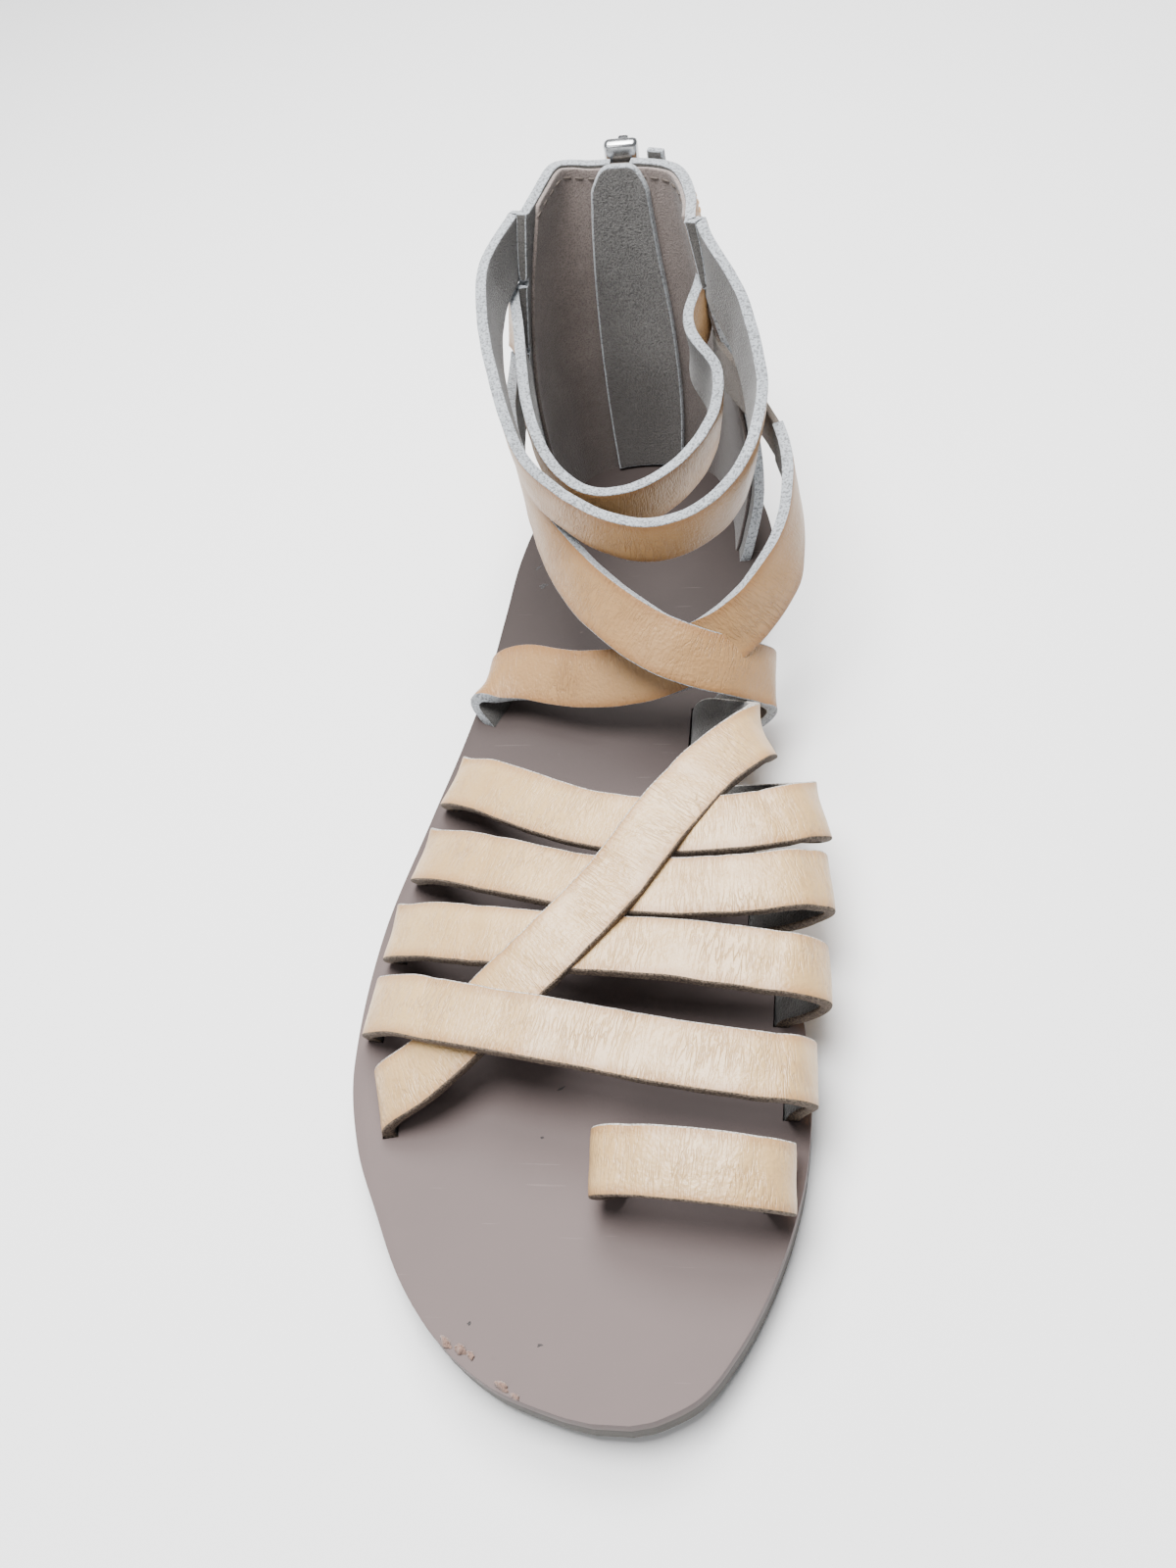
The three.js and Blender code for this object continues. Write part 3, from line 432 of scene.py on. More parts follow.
ANKLE_INNER = [
    (20.0, 6.0, 70.4, 0, 0.1, 1), (18.6, -0.6, 69.0, 0, 0.1, 1), (16.0, -9.0, 66.2, -0.05, 0.1, 1),
    (17.4, -15.0, 64.4, 0, 0, 1), (21.2, -20.2, 61.4, 0.1, 0, 1), (21.4, -29.6, 58.4, 0.12, -0.05, 1),
    (18.2, -37.0, 56.0, 0.1, -0.1, 1), (12.0, -44.6, 54.0, 0.05, -0.15, 1),
    (3.8, -49.4, 53.0, 0, -0.18, 1), (-4.3, -50.8, 54.0, -0.05, -0.15, 1),
    (-11.8, -45.2, 56.2, -0.1, -0.1, 1), (-17.0, -35.6, 59.4, -0.1, -0.05, 1),
    (-20.8, -20.0, 62.6, -0.08, 0, 1), (-23.0, -6.0, 65.2, 0, 0.1, 1), (-24.0, 2.6, 66.4, 0, 0.1, 1),
]


def curve_point(rows, t):
    """A point at share t of a centripetal curve through the rows."""
    last = len(rows) - 1
    i = min(int(last * t), last - 1)
    w = last * t - i
    p0 = rows[i - 1] if i > 0 else 2 * rows[0] - rows[1]
    p1, p2 = rows[i], rows[i + 1]
    p3 = rows[i + 2] if i + 2 <= last else 2 * rows[last] - rows[last - 1]
    k0 = max(np.linalg.norm((p1 - p0)[:3]), 1e-6) ** 0.5
    k1 = max(np.linalg.norm((p2 - p1)[:3]), 1e-6) ** 0.5
    k2 = max(np.linalg.norm((p3 - p2)[:3]), 1e-6) ** 0.5
    m1 = ((p1 - p0) / k0 - (p2 - p0) / (k0 + k1) + (p2 - p1) / k1) * k1
    m2 = ((p2 - p1) / k1 - (p3 - p1) / (k1 + k2) + (p3 - p2) / k2) * k1
    w2, w3 = w * w, w * w * w
    return ((2 * w3 - 3 * w2 + 1) * p1 + (w3 - 2 * w2 + w) * m1 + (3 * w2 - 2 * w3) * p2 + (w3 - w2) * m2)


FINE_STEPS = 1200
BENDING_PASSES = 14           # leather bends evenly, so the route is eased this many times


def route(rows, step):
    """Evenly spaced centres, width directions and normals along a smooth curve through the rows."""
    table = np.array(rows, float)
    table[:, 3:] /= np.linalg.norm(table[:, 3:], axis=1)[:, None]
    fine = np.array([curve_point(table, i / FINE_STEPS) for i in range(FINE_STEPS + 1)])
    along = np.concatenate([[0], np.cumsum(np.linalg.norm(np.diff(fine[:, :3], axis=0), axis=1))])
    count = int(along[-1] / step)
    even = np.array([[np.interp(s, along, fine[:, k]) for k in range(6)]
                     for s in np.linspace(0, along[-1], count + 1)])
    for _ in range(BENDING_PASSES):
        even[1:-1] = 0.5 * even[1:-1] + 0.25 * (even[:-2] + even[2:])
    tangent = np.gradient(even[:, :3], axis=0)
    tangent /= np.linalg.norm(tangent, axis=1)[:, None]
    across = even[:, 3:] - np.sum(even[:, 3:] * tangent, axis=1)[:, None] * tangent
    across /= np.linalg.norm(across, axis=1)[:, None]
    return even[:, :3], across, np.cross(tangent, across), along[-1]


def wave(a, b, c):
    return noise.noise(Vector((a, b, c)))


def set_attribute(piece, name, values):
    """Stores one number for each of the piece's vertices."""
    made = piece.data.attributes.new(name, "FLOAT", "POINT")
    for point, value in zip(made.data, values):
        point.value = value


def shift_uv(piece, seed):
    """Each piece is cut from its own place in the hide."""
    for loop in piece.data.uv_layers[0].data:
        loop.uv = (loop.uv[0] + seed * 0.37, loop.uv[1] + seed * 0.11)


def lay_strap(name, rows, seed, roots=(None, None), sink=0.0, folds=(), width=STRAP_WIDTH):
    """A strip without thickness, laid along its route. At a root, which is (share of the edge, side it
    leaves to, lowest row of the quarters' grid), it grows out of the quarters. Its last end may sink inwards."""
    centres, across, normal, length = route(rows, STRAP_STEP)
    columns = len(centres) - 1
    piece = grid_piece(name, columns, STRAP_COLUMNS)
    edges, sides = [], []

    def on_strap(u, v):
        i = round(u * columns)
        from_start, from_end = u * length, (1 - u) * length
        side = 2 * v - 1
        half = width / 2 + 0.14 * wave(i * 0.11, seed * 7.1, 3.0 if v > 0.5 else 9.0)
        free = min(1.0, min(from_start, from_end) / SLACK_LENGTH)
        crown = 0.3 * (1 - side * side)
        long_waves = 0.35 * wave(i * 0.035, side * 0.7, seed * 3.7)
        short_waves = 0.16 * wave(i * 0.16, side * 1.3, seed * 5.3)
        lift = free * (crown + long_waves + short_waves)
        for place, depth, half_width, slant in folds:
            off = (u - place) * length + slant * side * 6
            lift -= depth * math.exp(-(off / half_width) ** 2)
        lift -= sink * max(0.0, 1 - from_end / SINK_LENGTH)
        here = centres[i] + across[i] * side * half + normal[i] * lift
        for root, distance in zip(roots, (from_start, from_end)):
            if root and distance < ROOT_BLEND:
                share, leaves, low_row = root
                up = row_height(share, low_row + v * STRAP_COLUMNS)
                start = np.array(on_wall(share + leaves * distance * PER_MM, up, STRAP_THICKNESS / 2))
                here = start + (here - start) * smooth_unit(distance / ROOT_BLEND)
        edges.append(half * (1 - abs(side)))
        sides.append(v)
        return at_mm(*here)

    place_grid(piece, columns, STRAP_COLUMNS, on_strap, (length * MM, width * MM))
    set_attribute(piece, "edge_mm", edges)
    set_attribute(piece, "upper_side", sides)
    shift_uv(piece, seed)
    return piece


def smooth_unit(t):
    t = min(max(t, 0.0), 1.0)
    return t * t * (3 - 2 * t)


def strap_piece(name, rows, seed, finishes, folds=(), width=STRAP_WIDTH, thickness=STRAP_THICKNESS):
    """A separate strap, with its thickness and finishes."""
    piece = lay_strap(name, rows, seed, folds=folds, width=width)
    give_wall(piece, thickness, finishes)
    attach(piece, "shoe")
    return piece


def give_wall(piece, thickness, finishes, bevel=0.38):
    """Thickness, rounded cut edges, and the finishes of the grain side, the flesh side and the cut edge."""
    for finish in finishes:
        piece.data.materials.append(finish)
    wall = piece.modifiers.new("wall", "SOLIDIFY")
    wall.thickness = thickness * MM
    wall.offset = 0.0
    wall.use_even_offset = True
    wall.material_offset = 1
    wall.material_offset_rim = 2
    apply_modifiers(piece)
    rim_bevel(piece, bevel * MM, 2, 60, 2)
    smooth(piece, 60)


# Grain: fine pebbles, creases across the strip, and broad patches where the wax has rubbed off.
grain_group, grain_in, grain_out = new_group(
    "waxed_grain", [("Vector", VECTOR, None)],
    [("Height", FLOAT), ("Patch", FLOAT), ("Creases", FLOAT), ("Dirt", FLOAT)])
grain_place = grain_in.outputs["Vector"]
across_strip = add_node(grain_group, "ShaderNodeMapping", {"Vector": grain_place, "Scale": (1150, 190, 1)})
crease_noise = noise_of(grain_group, across_strip.outputs["Vector"], 1.0, 2.0, 0.5, 0.35)
crease_lines = math_node(grain_group, "ABSOLUTE", math_node(grain_group, "SUBTRACT", crease_noise, 0.5))
creases = rest_of(grain_group, smooth_step(grain_group, crease_lines, 0.0, 0.075))
creased_parts = smooth_step(grain_group, noise_of(grain_group, grain_place, 90.0, 2.0), 0.25, 0.8)
crease_depth = times(grain_group, creases, creased_parts)
cells = {"Vector": grain_place, "Scale": 1500.0, "Randomness": 1.0}
pebbles = add_node(grain_group, "ShaderNodeTexVoronoi", cells, feature="SMOOTH_F1").outputs["Distance"]
fine_grain = noise_of(grain_group, grain_place, 3200.0, 2.0, 0.6)
patch_mask = smooth_step(grain_group, noise_of(grain_group, grain_place, 60.0, 3.0, 0.55, 0.3), 0.2, 0.8)
dirt = smooth_step(grain_group, noise_of(grain_group, grain_place, 420.0, 4.0, 0.7), 0.66, 0.8)
height = times(grain_group, pebbles, 0.55)
height = math_node(grain_group, "ADD", height, times(grain_group, fine_grain, 0.25))
height = math_node(grain_group, "SUBTRACT", height, times(grain_group, crease_depth, 0.7))
for label, value in (("Height", height), ("Patch", patch_mask), ("Creases", crease_depth), ("Dirt", dirt)):
    feed(grain_group, grain_out.inputs[label], value)


def tan_leather(name, deep, pale, edge_tone, gloss):
    """Waxed vegetable-tanned side: warm tan, paler on its rubbed patches, deeper along the edges."""
    made, tree, shader = material(name)
    uv = tree.nodes.new("ShaderNodeUVMap").outputs["UV"]
    grain = use_group(tree, grain_group, {"Vector": uv})
    edge = add_node(tree, "ShaderNodeAttribute", attribute_name="edge_mm").outputs["Fac"]
    near_edge = rest_of(tree, smooth_step(tree, edge, 0.0, 2.8))
    base = mix_colour(tree, grain.outputs["Patch"], colour(*deep), colour(*pale))
    base = mix_colour(tree, times(tree, near_edge, 0.65), base, colour(*edge_tone))
    base = mix_colour(tree, times(tree, grain.outputs["Creases"], 0.42), base, colour(132, 94, 58))
    base = mix_colour(tree, times(tree, grain.outputs["Dirt"], 0.18), base, colour(120, 92, 66))
    rough = math_node(tree, "MULTIPLY_ADD", grain.outputs["Patch"], -0.02, 0.4)
    rough = math_node(tree, "ADD", rough, times(tree, near_edge, 0.1))
    finish_nodes(tree, shader, base, rough, grain.outputs["Height"], 0.7, 0.0003)
    shader.inputs["Specular IOR Level"].default_value = gloss
    shader.inputs["Coat Weight"].default_value = 0.1
    shader.inputs["Coat Roughness"].default_value = 0.3
    return made


def fuzzy(name, dark, light, speck, scale=1.0, depth=0.0004, painted_low_shade=None):
    """Napped flesh side, felt or suede: short fibres, mottled and speckled; painted shade can darken it low in
    the heel.
    """
    made, tree, shader = material(name)
    place = object_coords(tree)
    rub = use_group(tree, rub_group, {"Vector": place, "Size": scale})
    base = mix_colour(tree, rub.outputs["Mottle"], colour(*dark), colour(*light))
    pits = rest_of(tree, smooth_step(tree, rub.outputs["Fine"], 0.34, 0.56))
    base = mix_colour(tree, times(tree, pits, 0.7), base, colour(*speck))
    base = mix_colour(tree, times(tree, rub.outputs["Specks"], 0.6), base, colour(*light))
    # Painted shade: when a shade colour is given, the colour darkens towards the bottom, low inside the heel.
    if painted_low_shade:
        up = add_node(tree, "ShaderNodeSeparateXYZ", {"Vector": place}).outputs["Z"]
        uneven = math_node(tree, "MULTIPLY_ADD", rub.outputs["Mottle"], 0.03, up)
        low_shade_mask = rest_of(tree, smooth_step(tree, uneven, 0.03, 0.095))
        base = mix_colour(tree, times(tree, low_shade_mask, 0.8), base, colour(*painted_low_shade))
    finish_nodes(tree, shader, base, 0.95, rub.outputs["Fine"], 0.8, depth)
    shader.inputs["Sheen Weight"].default_value = 0.25
    shader.inputs["Sheen Roughness"].default_value = 0.6
    return made


# One leather in two painted tones: the vamp copy is painted lighter for the light on the upward-facing vamp
# straps, and the ankle copy darker for the shade on the upright ankle straps.
leather = tan_leather("tan_leather", (155, 119, 78), (167, 131, 89), (136, 95, 56), 0.35)
vamp_leather_painted_light = tan_leather("tan_leather_painted_light", (186, 150, 100), (200, 166, 116), (152, 106, 60), 0.75)
flesh = fuzzy("flesh_side", (52, 49, 46), (84, 81, 77), (30, 28, 26))
cut_edge = fuzzy("cut_edge", (122, 126, 130), (176, 181, 186), (56, 55, 54), 0.8, 0.0004)


def edge_by_side(name):
    """Vamp straps' cut edge: pale on the heel side, and darkened with painted shade on the toe side."""
    made, tree, shader = material(name)
    place = object_coords(tree)
    rub = use_group(tree, rub_group, {"Vector": place, "Size": 1.0})
    side = add_node(tree, "ShaderNodeAttribute", attribute_name="upper_side").outputs["Fac"]
    pits = smooth_step(tree, rub.outputs["Fine"], 0.36, 0.62)
    pale = mix_colour(tree, pits, colour(120, 112, 102), colour(196, 192, 186))
    # The dark toe-side colour is painted shade on the edges that face away from the light.
    dark = mix_colour(tree, pits, colour(58, 48, 40), colour(104, 90, 76))
    base = mix_colour(tree, smooth_step(tree, side, 0.4, 0.6), dark, pale)
    finish_nodes(tree, shader, base, 0.9, rub.outputs["Fine"], 0.8, 0.0003)
    return made


vamp_edge = edge_by_side("vamp_cut_edge")
vamp_finish = (vamp_leather_painted_light, flesh, vamp_edge)
ankle_finish = (leather, flesh, cut_edge)

# Creases set by the foot: share of the strap's length, depth and half width in millimetres, and slant.
# A negative depth is a ridge.
TOE_FOLDS = [(0.34, 0.3, 1.6, 0.1), (0.50, -0.25, 3.0, 0.0), (0.66, 0.25, 1.8, -0.15)]
FRONT_FOLDS = [
    (0.22, 0.35, 2.2, 0.3), (0.41, -0.3, 4.0, 0.1), (0.55, 0.25, 1.5, -0.2), (0.78, 0.4, 2.6, -0.3),
]
THIRD_FOLDS = [
    (0.26, 0.3, 2.0, 0.3), (0.45, 0.2, 1.4, 0.1), (0.60, -0.3, 4.5, 0.0), (0.74, 0.35, 2.2, -0.2),
]
FOURTH_FOLDS = [
    (0.24, 0.35, 2.4, 0.2), (0.52, -0.25, 4.0, 0.1), (0.63, 0.3, 1.6, 0.2), (0.77, 0.35, 2.0, -0.1),
]
FIFTH_FOLDS = [
    (0.28, 0.3, 2.0, -0.2), (0.48, 0.25, 1.8, 0.2), (0.66, 0.3, 1.5, 0.3), (0.73, -0.25, 2.5, 0.2),
]
DIAGONAL_FOLDS = [
    (0.30, 0.25, 1.3, 0.3), (0.36, -0.2, 2.0, 0.2), (0.46, 0.3, 1.5, 0.1), (0.58, 0.25, 1.2, 0.2),
    (0.64, 0.3, 1.6, 0.3), (0.74, -0.25, 3.0, 0.1),
]
toe_loop = strap_piece("toe_loop_strap", TOE_LOOP, 1, vamp_finish, TOE_FOLDS)
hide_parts("toe_loop")

VAMP = {
    "front_strap": (FRONT_STRAP, 2, FRONT_FOLDS), "third_strap": (THIRD_STRAP, 3, THIRD_FOLDS),
    "fourth_strap": (FOURTH_STRAP, 4, FOURTH_FOLDS), "fifth_strap": (FIFTH_STRAP, 5, FIFTH_FOLDS),
    "diagonal_strap": (DIAGONAL_STRAP, 6, DIAGONAL_FOLDS),
}
for strap_name, (rows, seed, folds) in VAMP.items():
    strap = strap_piece(strap_name, rows, seed, vamp_finish, folds)
    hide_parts("vamp_straps")

under = strap_piece("instep_strap_under", INSTEP_UNDER, 8, ankle_finish)
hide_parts("instep_straps")


# ------------------------------------------------------------------ footbed
# A 3 mm board covered in smooth taupe synthetic leather, its edge rounded over. A slot is punched for
# each strap end, and the board is cemented to the outsole.
footbed = sole_sheet("footbed_sheet", footbed_top, lambda s: footbed_top(s) - FOOTBED_THICKNESS, 0.0)
rim_bevel(footbed, 0.0008)


def join(pieces, name):
    """The pieces as one, which keeps the first one's body."""
    deselect()
    for piece in pieces:
        piece.select_set(True)
    bpy.context.view_layer.objects.active = pieces[0]
    bpy.ops.object.join()
    pieces[0].name = name
    return pieces[0]


SLOT_SIZE = Vector((3.1, STRAP_WIDTH + 0.6, 8.0))
SLOT_LEVEL = 1.2              # the slot is centred on the strap at this depth in the footbed


def slot_cutter(rows, at_end):
    """A block round a strap where it goes down through the footbed."""
    centres, across, _, _ = route(rows, STRAP_STEP)
    order = range(len(centres) - 1, -1, -1) if at_end else range(len(centres))
    level = footbed_top(HEEL_Y - centres[order[0]][1]) - SLOT_LEVEL
    i = next(k for k in order if centres[k][2] >= level)
    deselect()
    bpy.ops.mesh.primitive_cube_add(size=1)
    cutter = bpy.context.object
    wide = Vector((across[i][0], across[i][1], 0)).normalized()
    turn = Matrix((wide.cross(Vector((0, 0, 1))), wide, Vector((0, 0, 1)))).transposed().to_4x4()
    size = Matrix.Diagonal((*(SLOT_SIZE * MM), 1))
    cutter.matrix_world = Matrix.Translation(at_mm(*centres[i])) @ turn @ size
    bpy.ops.object.transform_apply(location=True, rotation=True, scale=True)
    return cutter


cutters = [slot_cutter(rows, at_end) for rows in (TOE_LOOP, *(rows for rows, _, _ in VAMP.values()))
           for at_end in (False, True)]
cutters += [slot_cutter(INSTEP_OVER, False), slot_cutter(INSTEP_UNDER, False)]
punches = join(cutters, "slot_punches")
punch = footbed.modifiers.new("slots", "BOOLEAN")
punch.operation = "DIFFERENCE"
punch.solver = "EXACT"
punch.object = punches
apply_modifiers(footbed)
bpy.data.objects.remove(punches)


def footbed_material():
    """Smooth taupe covering, darker towards the heel from wear and from painted shade, with soft rub marks,
    faint scratches and a few specks.
    """
    made, tree, shader = material("taupe_footbed")
    place = object_coords(tree)
    rub = use_group(tree, rub_group, {"Vector": place, "Size": 0.5})
    base = mix_colour(tree, rub.outputs["Mottle"], colour(92, 81, 79), colour(103, 91, 89))
    # Painted shade, with some wear: the covering darkens from the waist to the heel, where the light falls off.
    along = add_node(tree, "ShaderNodeSeparateXYZ", {"Vector": place}).outputs["Y"]
    wear_and_painted_shade = smooth_step(tree, along, -0.07, 0.06)
    base = mix_colour(tree, times(tree, wear_and_painted_shade, 0.85), base, colour(48, 42, 40))
    drawn_out = {"Vector": place, "Rotation": (0, 0, 0.5), "Scale": (60, 1400, 1)}
    turned = add_node(tree, "ShaderNodeMapping", drawn_out)
    scratches = smooth_step(tree, noise_of(tree, turned.outputs["Vector"], 1.0, 2.0), 0.70, 0.76)
    base = mix_colour(tree, times(tree, scratches, 0.1), base, colour(168, 156, 152))
    specks = smooth_step(tree, noise_of(tree, place, 260.0, 2.0, 0.5), 0.745, 0.78)
    base = mix_colour(tree, times(tree, specks, 0.55), base, colour(96, 84, 82))
    roughness = math_node(tree, "MULTIPLY_ADD", rub.outputs["Mottle"], 0.12, 0.52)
    finish_nodes(tree, shader, base, roughness, rub.outputs["Fine"], 0.25, 0.0001)
    shader.inputs["Specular IOR Level"].default_value = 0.16
    return made


footbed.data.materials.append(footbed_material())
smooth(footbed, 40)
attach(footbed, "shoe")
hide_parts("footbed")

# Nicks in the covering, and torn brown shreds at the outer edge by the toes.
NICKS = [                     # x, y, length, width, height above the surface, turn in degrees
    (-24.6, -27.5, 4.0, 2.2, 0.02, 20), (-26.4, -21.0, 2.6, 1.0, 0.02, 60),
    (-6.6, -165.0, 2.6, 0.6, 0.02, 30), (-9.2, -175.2, 1.0, 0.7, 0.02, 0),
    (-18.1, -211.3, 1.4, 0.8, 0.02, 70), (-5.1, -214.4, 1.2, 0.7, 0.02, 20),
]
SHREDS = [
    (-21.6, -214.6, 3.0, 1.4, 0.8, -50), (-18.9, -215.6, 2.4, 1.6, 1.0, -30),
    (-16.8, -216.7, 1.8, 1.1, 0.7, -60), (-10.6, -221.6, 2.8, 1.3, 0.9, -35),
    (-8.2, -223.2, 1.8, 1.0, 0.7, -20),
]
MARK_DEPTH = 0.05


def marks(name, rows, finish):
    """Small uneven lumps set into the footbed's surface, as one piece."""
    made = []
    for x, y, length, width, height, turn in rows:
        deselect()
        bpy.ops.mesh.primitive_ico_sphere_add(subdivisions=3, radius=0.5)
        mark = bpy.context.object
        for vertex in mark.data.vertices:
            vertex.co *= 1 + 0.5 * wave(*(vertex.co * 3 + Vector((x, y, 0))))
        mark.scale = (length * MM, width * MM, 2 * (height + MARK_DEPTH) * MM)
        mark.rotation_euler = (0, 0, math.radians(turn))
        mark.location = at_mm(x, y, footbed_top(HEEL_Y - y) - MARK_DEPTH)
        bpy.ops.object.transform_apply(location=True, rotation=True, scale=True)
        made.append(mark)
    piece = join(made, name)
    piece.data.materials.append(finish)
    smooth(piece, 60)
    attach(piece, "shoe")


marks("footbed_nicks", NICKS, fuzzy("nick_shadow", (38, 34, 34), (58, 52, 50), (24, 22, 22)))
marks("footbed_shreds", SHREDS, fuzzy("torn_covering", (112, 84, 72), (140, 112, 98), (70, 50, 42)))


# ------------------------------------------------------------------ heel quarters
# Two leather quarters stand with their foot sunk in the footbed and meet at the zip. Both ankle straps and the
# upper instep strap are cut in one with them, and a taupe suede lining is stitched inside.
QUARTER = [                   # height, then outer front edge, outer side, back, inner side, inner front edge
    (6.1, (-20.4, -7.4), (-22.8, 2.0), 19.6, (24.6, -3.0), (25.6, -21.4)),
    (12, (-21.8, -6.6), (-24.0, 2.4), 20.9, (25.6, -2.6), (27.8, -20.4)),
    (28, (-24.4, -4.2), (-26.0, 4.0), 23.8, (27.8, -1.0), (31.0, -16.4)),
    (48, (-26.0, -1.0), (-26.2, 7.0), 25.8, (26.4, 2.0), (29.0, -10.0)),
    (70, (-24.4, 4.6), (-23.6, 11.5), 26.4, (21.6, 6.0), (22.2, -2.4)),
    (90, (-21.6, 11.2), (-18.6, 17.5), 27.4, (17.6, 11.5), (17.6, 3.6)),
]
QUARTER_TOP = 90.0
QUARTER_FOOT = 6.7
ZIP_REVEAL = 7.0
CORNER = 0.74                 # how far the plan's rounded heel corners reach out


def quarter_plan(row):
    """The quarters' outer surface in plan at one height, from the outer to the inner front edge."""
    _, edge_out, side_out, back, side_in, edge_in = row
    corner_out = (side_out[0] * CORNER, side_out[1] + (back - side_out[1]) * CORNER)
    corner_in = (side_in[0] * CORNER, side_in[1] + (back - side_in[1]) * CORNER)
    return np.array([edge_out, side_out, corner_out, (0, back), corner_in, side_in, edge_in], float)


PLANS = [quarter_plan(row) for row in QUARTER]
EDGE_STEP = 0.02              # share of the wall that gives the direction in which it carries straight on


@functools.lru_cache(maxsize=None)
def wall_table(share):
    return [(row[0], *curve_point(plan, share)) for row, plan in zip(QUARTER, PLANS)]


def wall_xy(share, up):
    """Outer surface of the quarters at a share of the way round; past a front edge it carries straight on."""
    inside = min(max(share, 0.0), 1.0)
    table = wall_table(inside)
    here = np.array([smooth_column(table, 1, up), smooth_column(table, 2, up)])
    if inside != share:
        back = wall_xy(EDGE_STEP if share < 0 else 1 - EDGE_STEP, up)
        here = here - (back - here) * (abs(share - inside) / EDGE_STEP)
    return here


def on_wall(share, up, inward=0.0):
    """A point of the quarters in the tables' millimetres, inward by some depth."""
    here = wall_xy(share, up)
    along = wall_xy(min(share + 0.01, 1.0), up) - wall_xy(max(share - 0.01, 0.0), up)
    outward_xy = np.array([-along[1], along[0]]) / np.linalg.norm(along)
    return (*(here - outward_xy * inward), up)


def share_at_x(x):
    """The share at which the back of the wall crosses a sideways place."""
    low, high = 0.2, 0.8
    for _ in range(30):
        middle = (low + high) / 2
        if curve_point(PLANS[3], middle)[0] < x:
            low = middle
        else:
            high = middle
    return (low + high) / 2


BACK_OUTER = share_at_x(-ZIP_REVEAL / 2)
BACK_INNER = share_at_x(ZIP_REVEAL / 2)
PER_MM = (BACK_INNER - BACK_OUTER) / ZIP_REVEAL
BACK = (BACK_INNER + BACK_OUTER) / 2


def wall_piece(name, share_from, share_to, foot, top, inward, thickness, finishes, columns=56, rows=70,
               ripple=0.0, seed=1, bevel=0.38):
    """A sheet along the quarters' surface between two shares, from its foot to the height top(share)."""
    piece = grid_piece(name, columns, rows)
    width = abs(share_to - share_from) / PER_MM
    edges = []

    def on_sheet(u, v):
        share = share_to + (share_from - share_to) * u
        high = top(share)
        up = foot + (high - foot) * v
        depth = inward + thickness / 2 + ripple * wave(share * 14, up * 0.05, seed)
        edges.append(min(u * width, (1 - u) * width, (1 - v) * (high - foot)))
        return at_mm(*on_wall(share, up, depth))

    place_grid(piece, columns, rows, on_sheet, (width * MM, (QUARTER_TOP - foot) * MM))
    set_attribute(piece, "edge_mm", edges)
    give_wall(piece, thickness, finishes, bevel)
    return piece


def top_line(share):
    """The quarters' top edge: lowest at the front, with a raised stretch on the outer side."""
    raised = 2.4 * math.exp(-((share - 0.27) / 0.13) ** 2) * (1 - smooth_unit((share - 0.36) / 0.1))
    return QUARTER_TOP - 1.6 * abs(2 * share - 1) ** 3 + raised


# The lining's darker bottom is painted shade inside the heel.
lining_suede = fuzzy("lining_suede", (108, 96, 90), (138, 126, 120), (84, 72, 66), painted_low_shade=(52, 42, 37))
ROOT_BLEND = 13.0             # length over which a strap turns from the quarter's surface to its own route
SHELL_COLUMNS, SHELL_ROWS = 56, 70
OVER_OUTER_ROOT = (0.0, -1, 58)      # where each strap leaves a quarter's front edge
OVER_INNER_ROOT = (1.0, 1, 58)
UNDER_OUTER_ROOT = (0.0, -1, 45)
INSTEP_ROOT = (0.0, -1, 32)
QUARTER_FOLDS = [             # share of the wall, height, outward swell, half length, half width, slope
    (0.17, 34.0, 0.7, 13.0, 4.0, 0.5), (0.25, 60.0, 0.5, 10.0, 3.2, -0.4), (0.33, 22.0, 0.5, 9.0, 3.5, 0.2),
    (0.82, 32.0, 0.7, 13.0, 4.0, -0.5), (0.73, 58.0, 0.5, 10.0, 3.2, 0.4), (0.68, 24.0, 0.5, 9.0, 3.5, -0.2),
]


def swell(share, up, from_front):
    """How far the quarters' soft folds stand out; none at the front edges, where the straps grow."""
    out = 0.0
    for fold_share, fold_up, height, half_length, half_width, slope in QUARTER_FOLDS:
        along, off = (share - fold_share) / PER_MM, up - fold_up
        out += height * math.exp(-((along + slope * off) / half_length) ** 2
                                 - ((off - slope * along) / half_width) ** 2)
    return out * smooth_unit((from_front - 2) / 9)


def row_height(share, row):
    return QUARTER_FOOT + (top_line(share) - QUARTER_FOOT) * row / SHELL_ROWS


SHELL_PITCH = 1.17            # height of one row of a quarter's faces
SHELL_HEIGHT = 0.084          # height of its UV map, in metres


def shell_sheet(name, share_from, share_to, root_rows, front_share, seed):
    """One quarter without thickness; root_rows are the rows of its front edge from which straps grow."""
    piece = grid_piece(name, SHELL_COLUMNS, SHELL_ROWS)
    width = abs(share_to - share_from) / PER_MM
    free = [row for row in range(SHELL_ROWS + 1)
            if not any(low < row < low + STRAP_COLUMNS for low in root_rows)]
    edges = []

    def on_shell(u, v):
        share = share_to + (share_from - share_to) * u
        row = round(v * SHELL_ROWS)
        from_front = abs(share - front_share) / PER_MM
        from_free = min(abs(row - other) for other in free) * SHELL_PITCH
        from_top = (SHELL_ROWS - row) * SHELL_PITCH
        edges.append(min(math.hypot(from_front, from_free), width - from_front, from_top))
        up = row_height(share, row)
        return at_mm(*on_wall(share, up, STRAP_THICKNESS / 2 - swell(share, up, from_front)))

    place_grid(piece, SHELL_COLUMNS, SHELL_ROWS, on_shell, (width * MM, SHELL_HEIGHT))
    set_attribute(piece, "edge_mm", edges)
    shift_uv(piece, seed)
    return piece


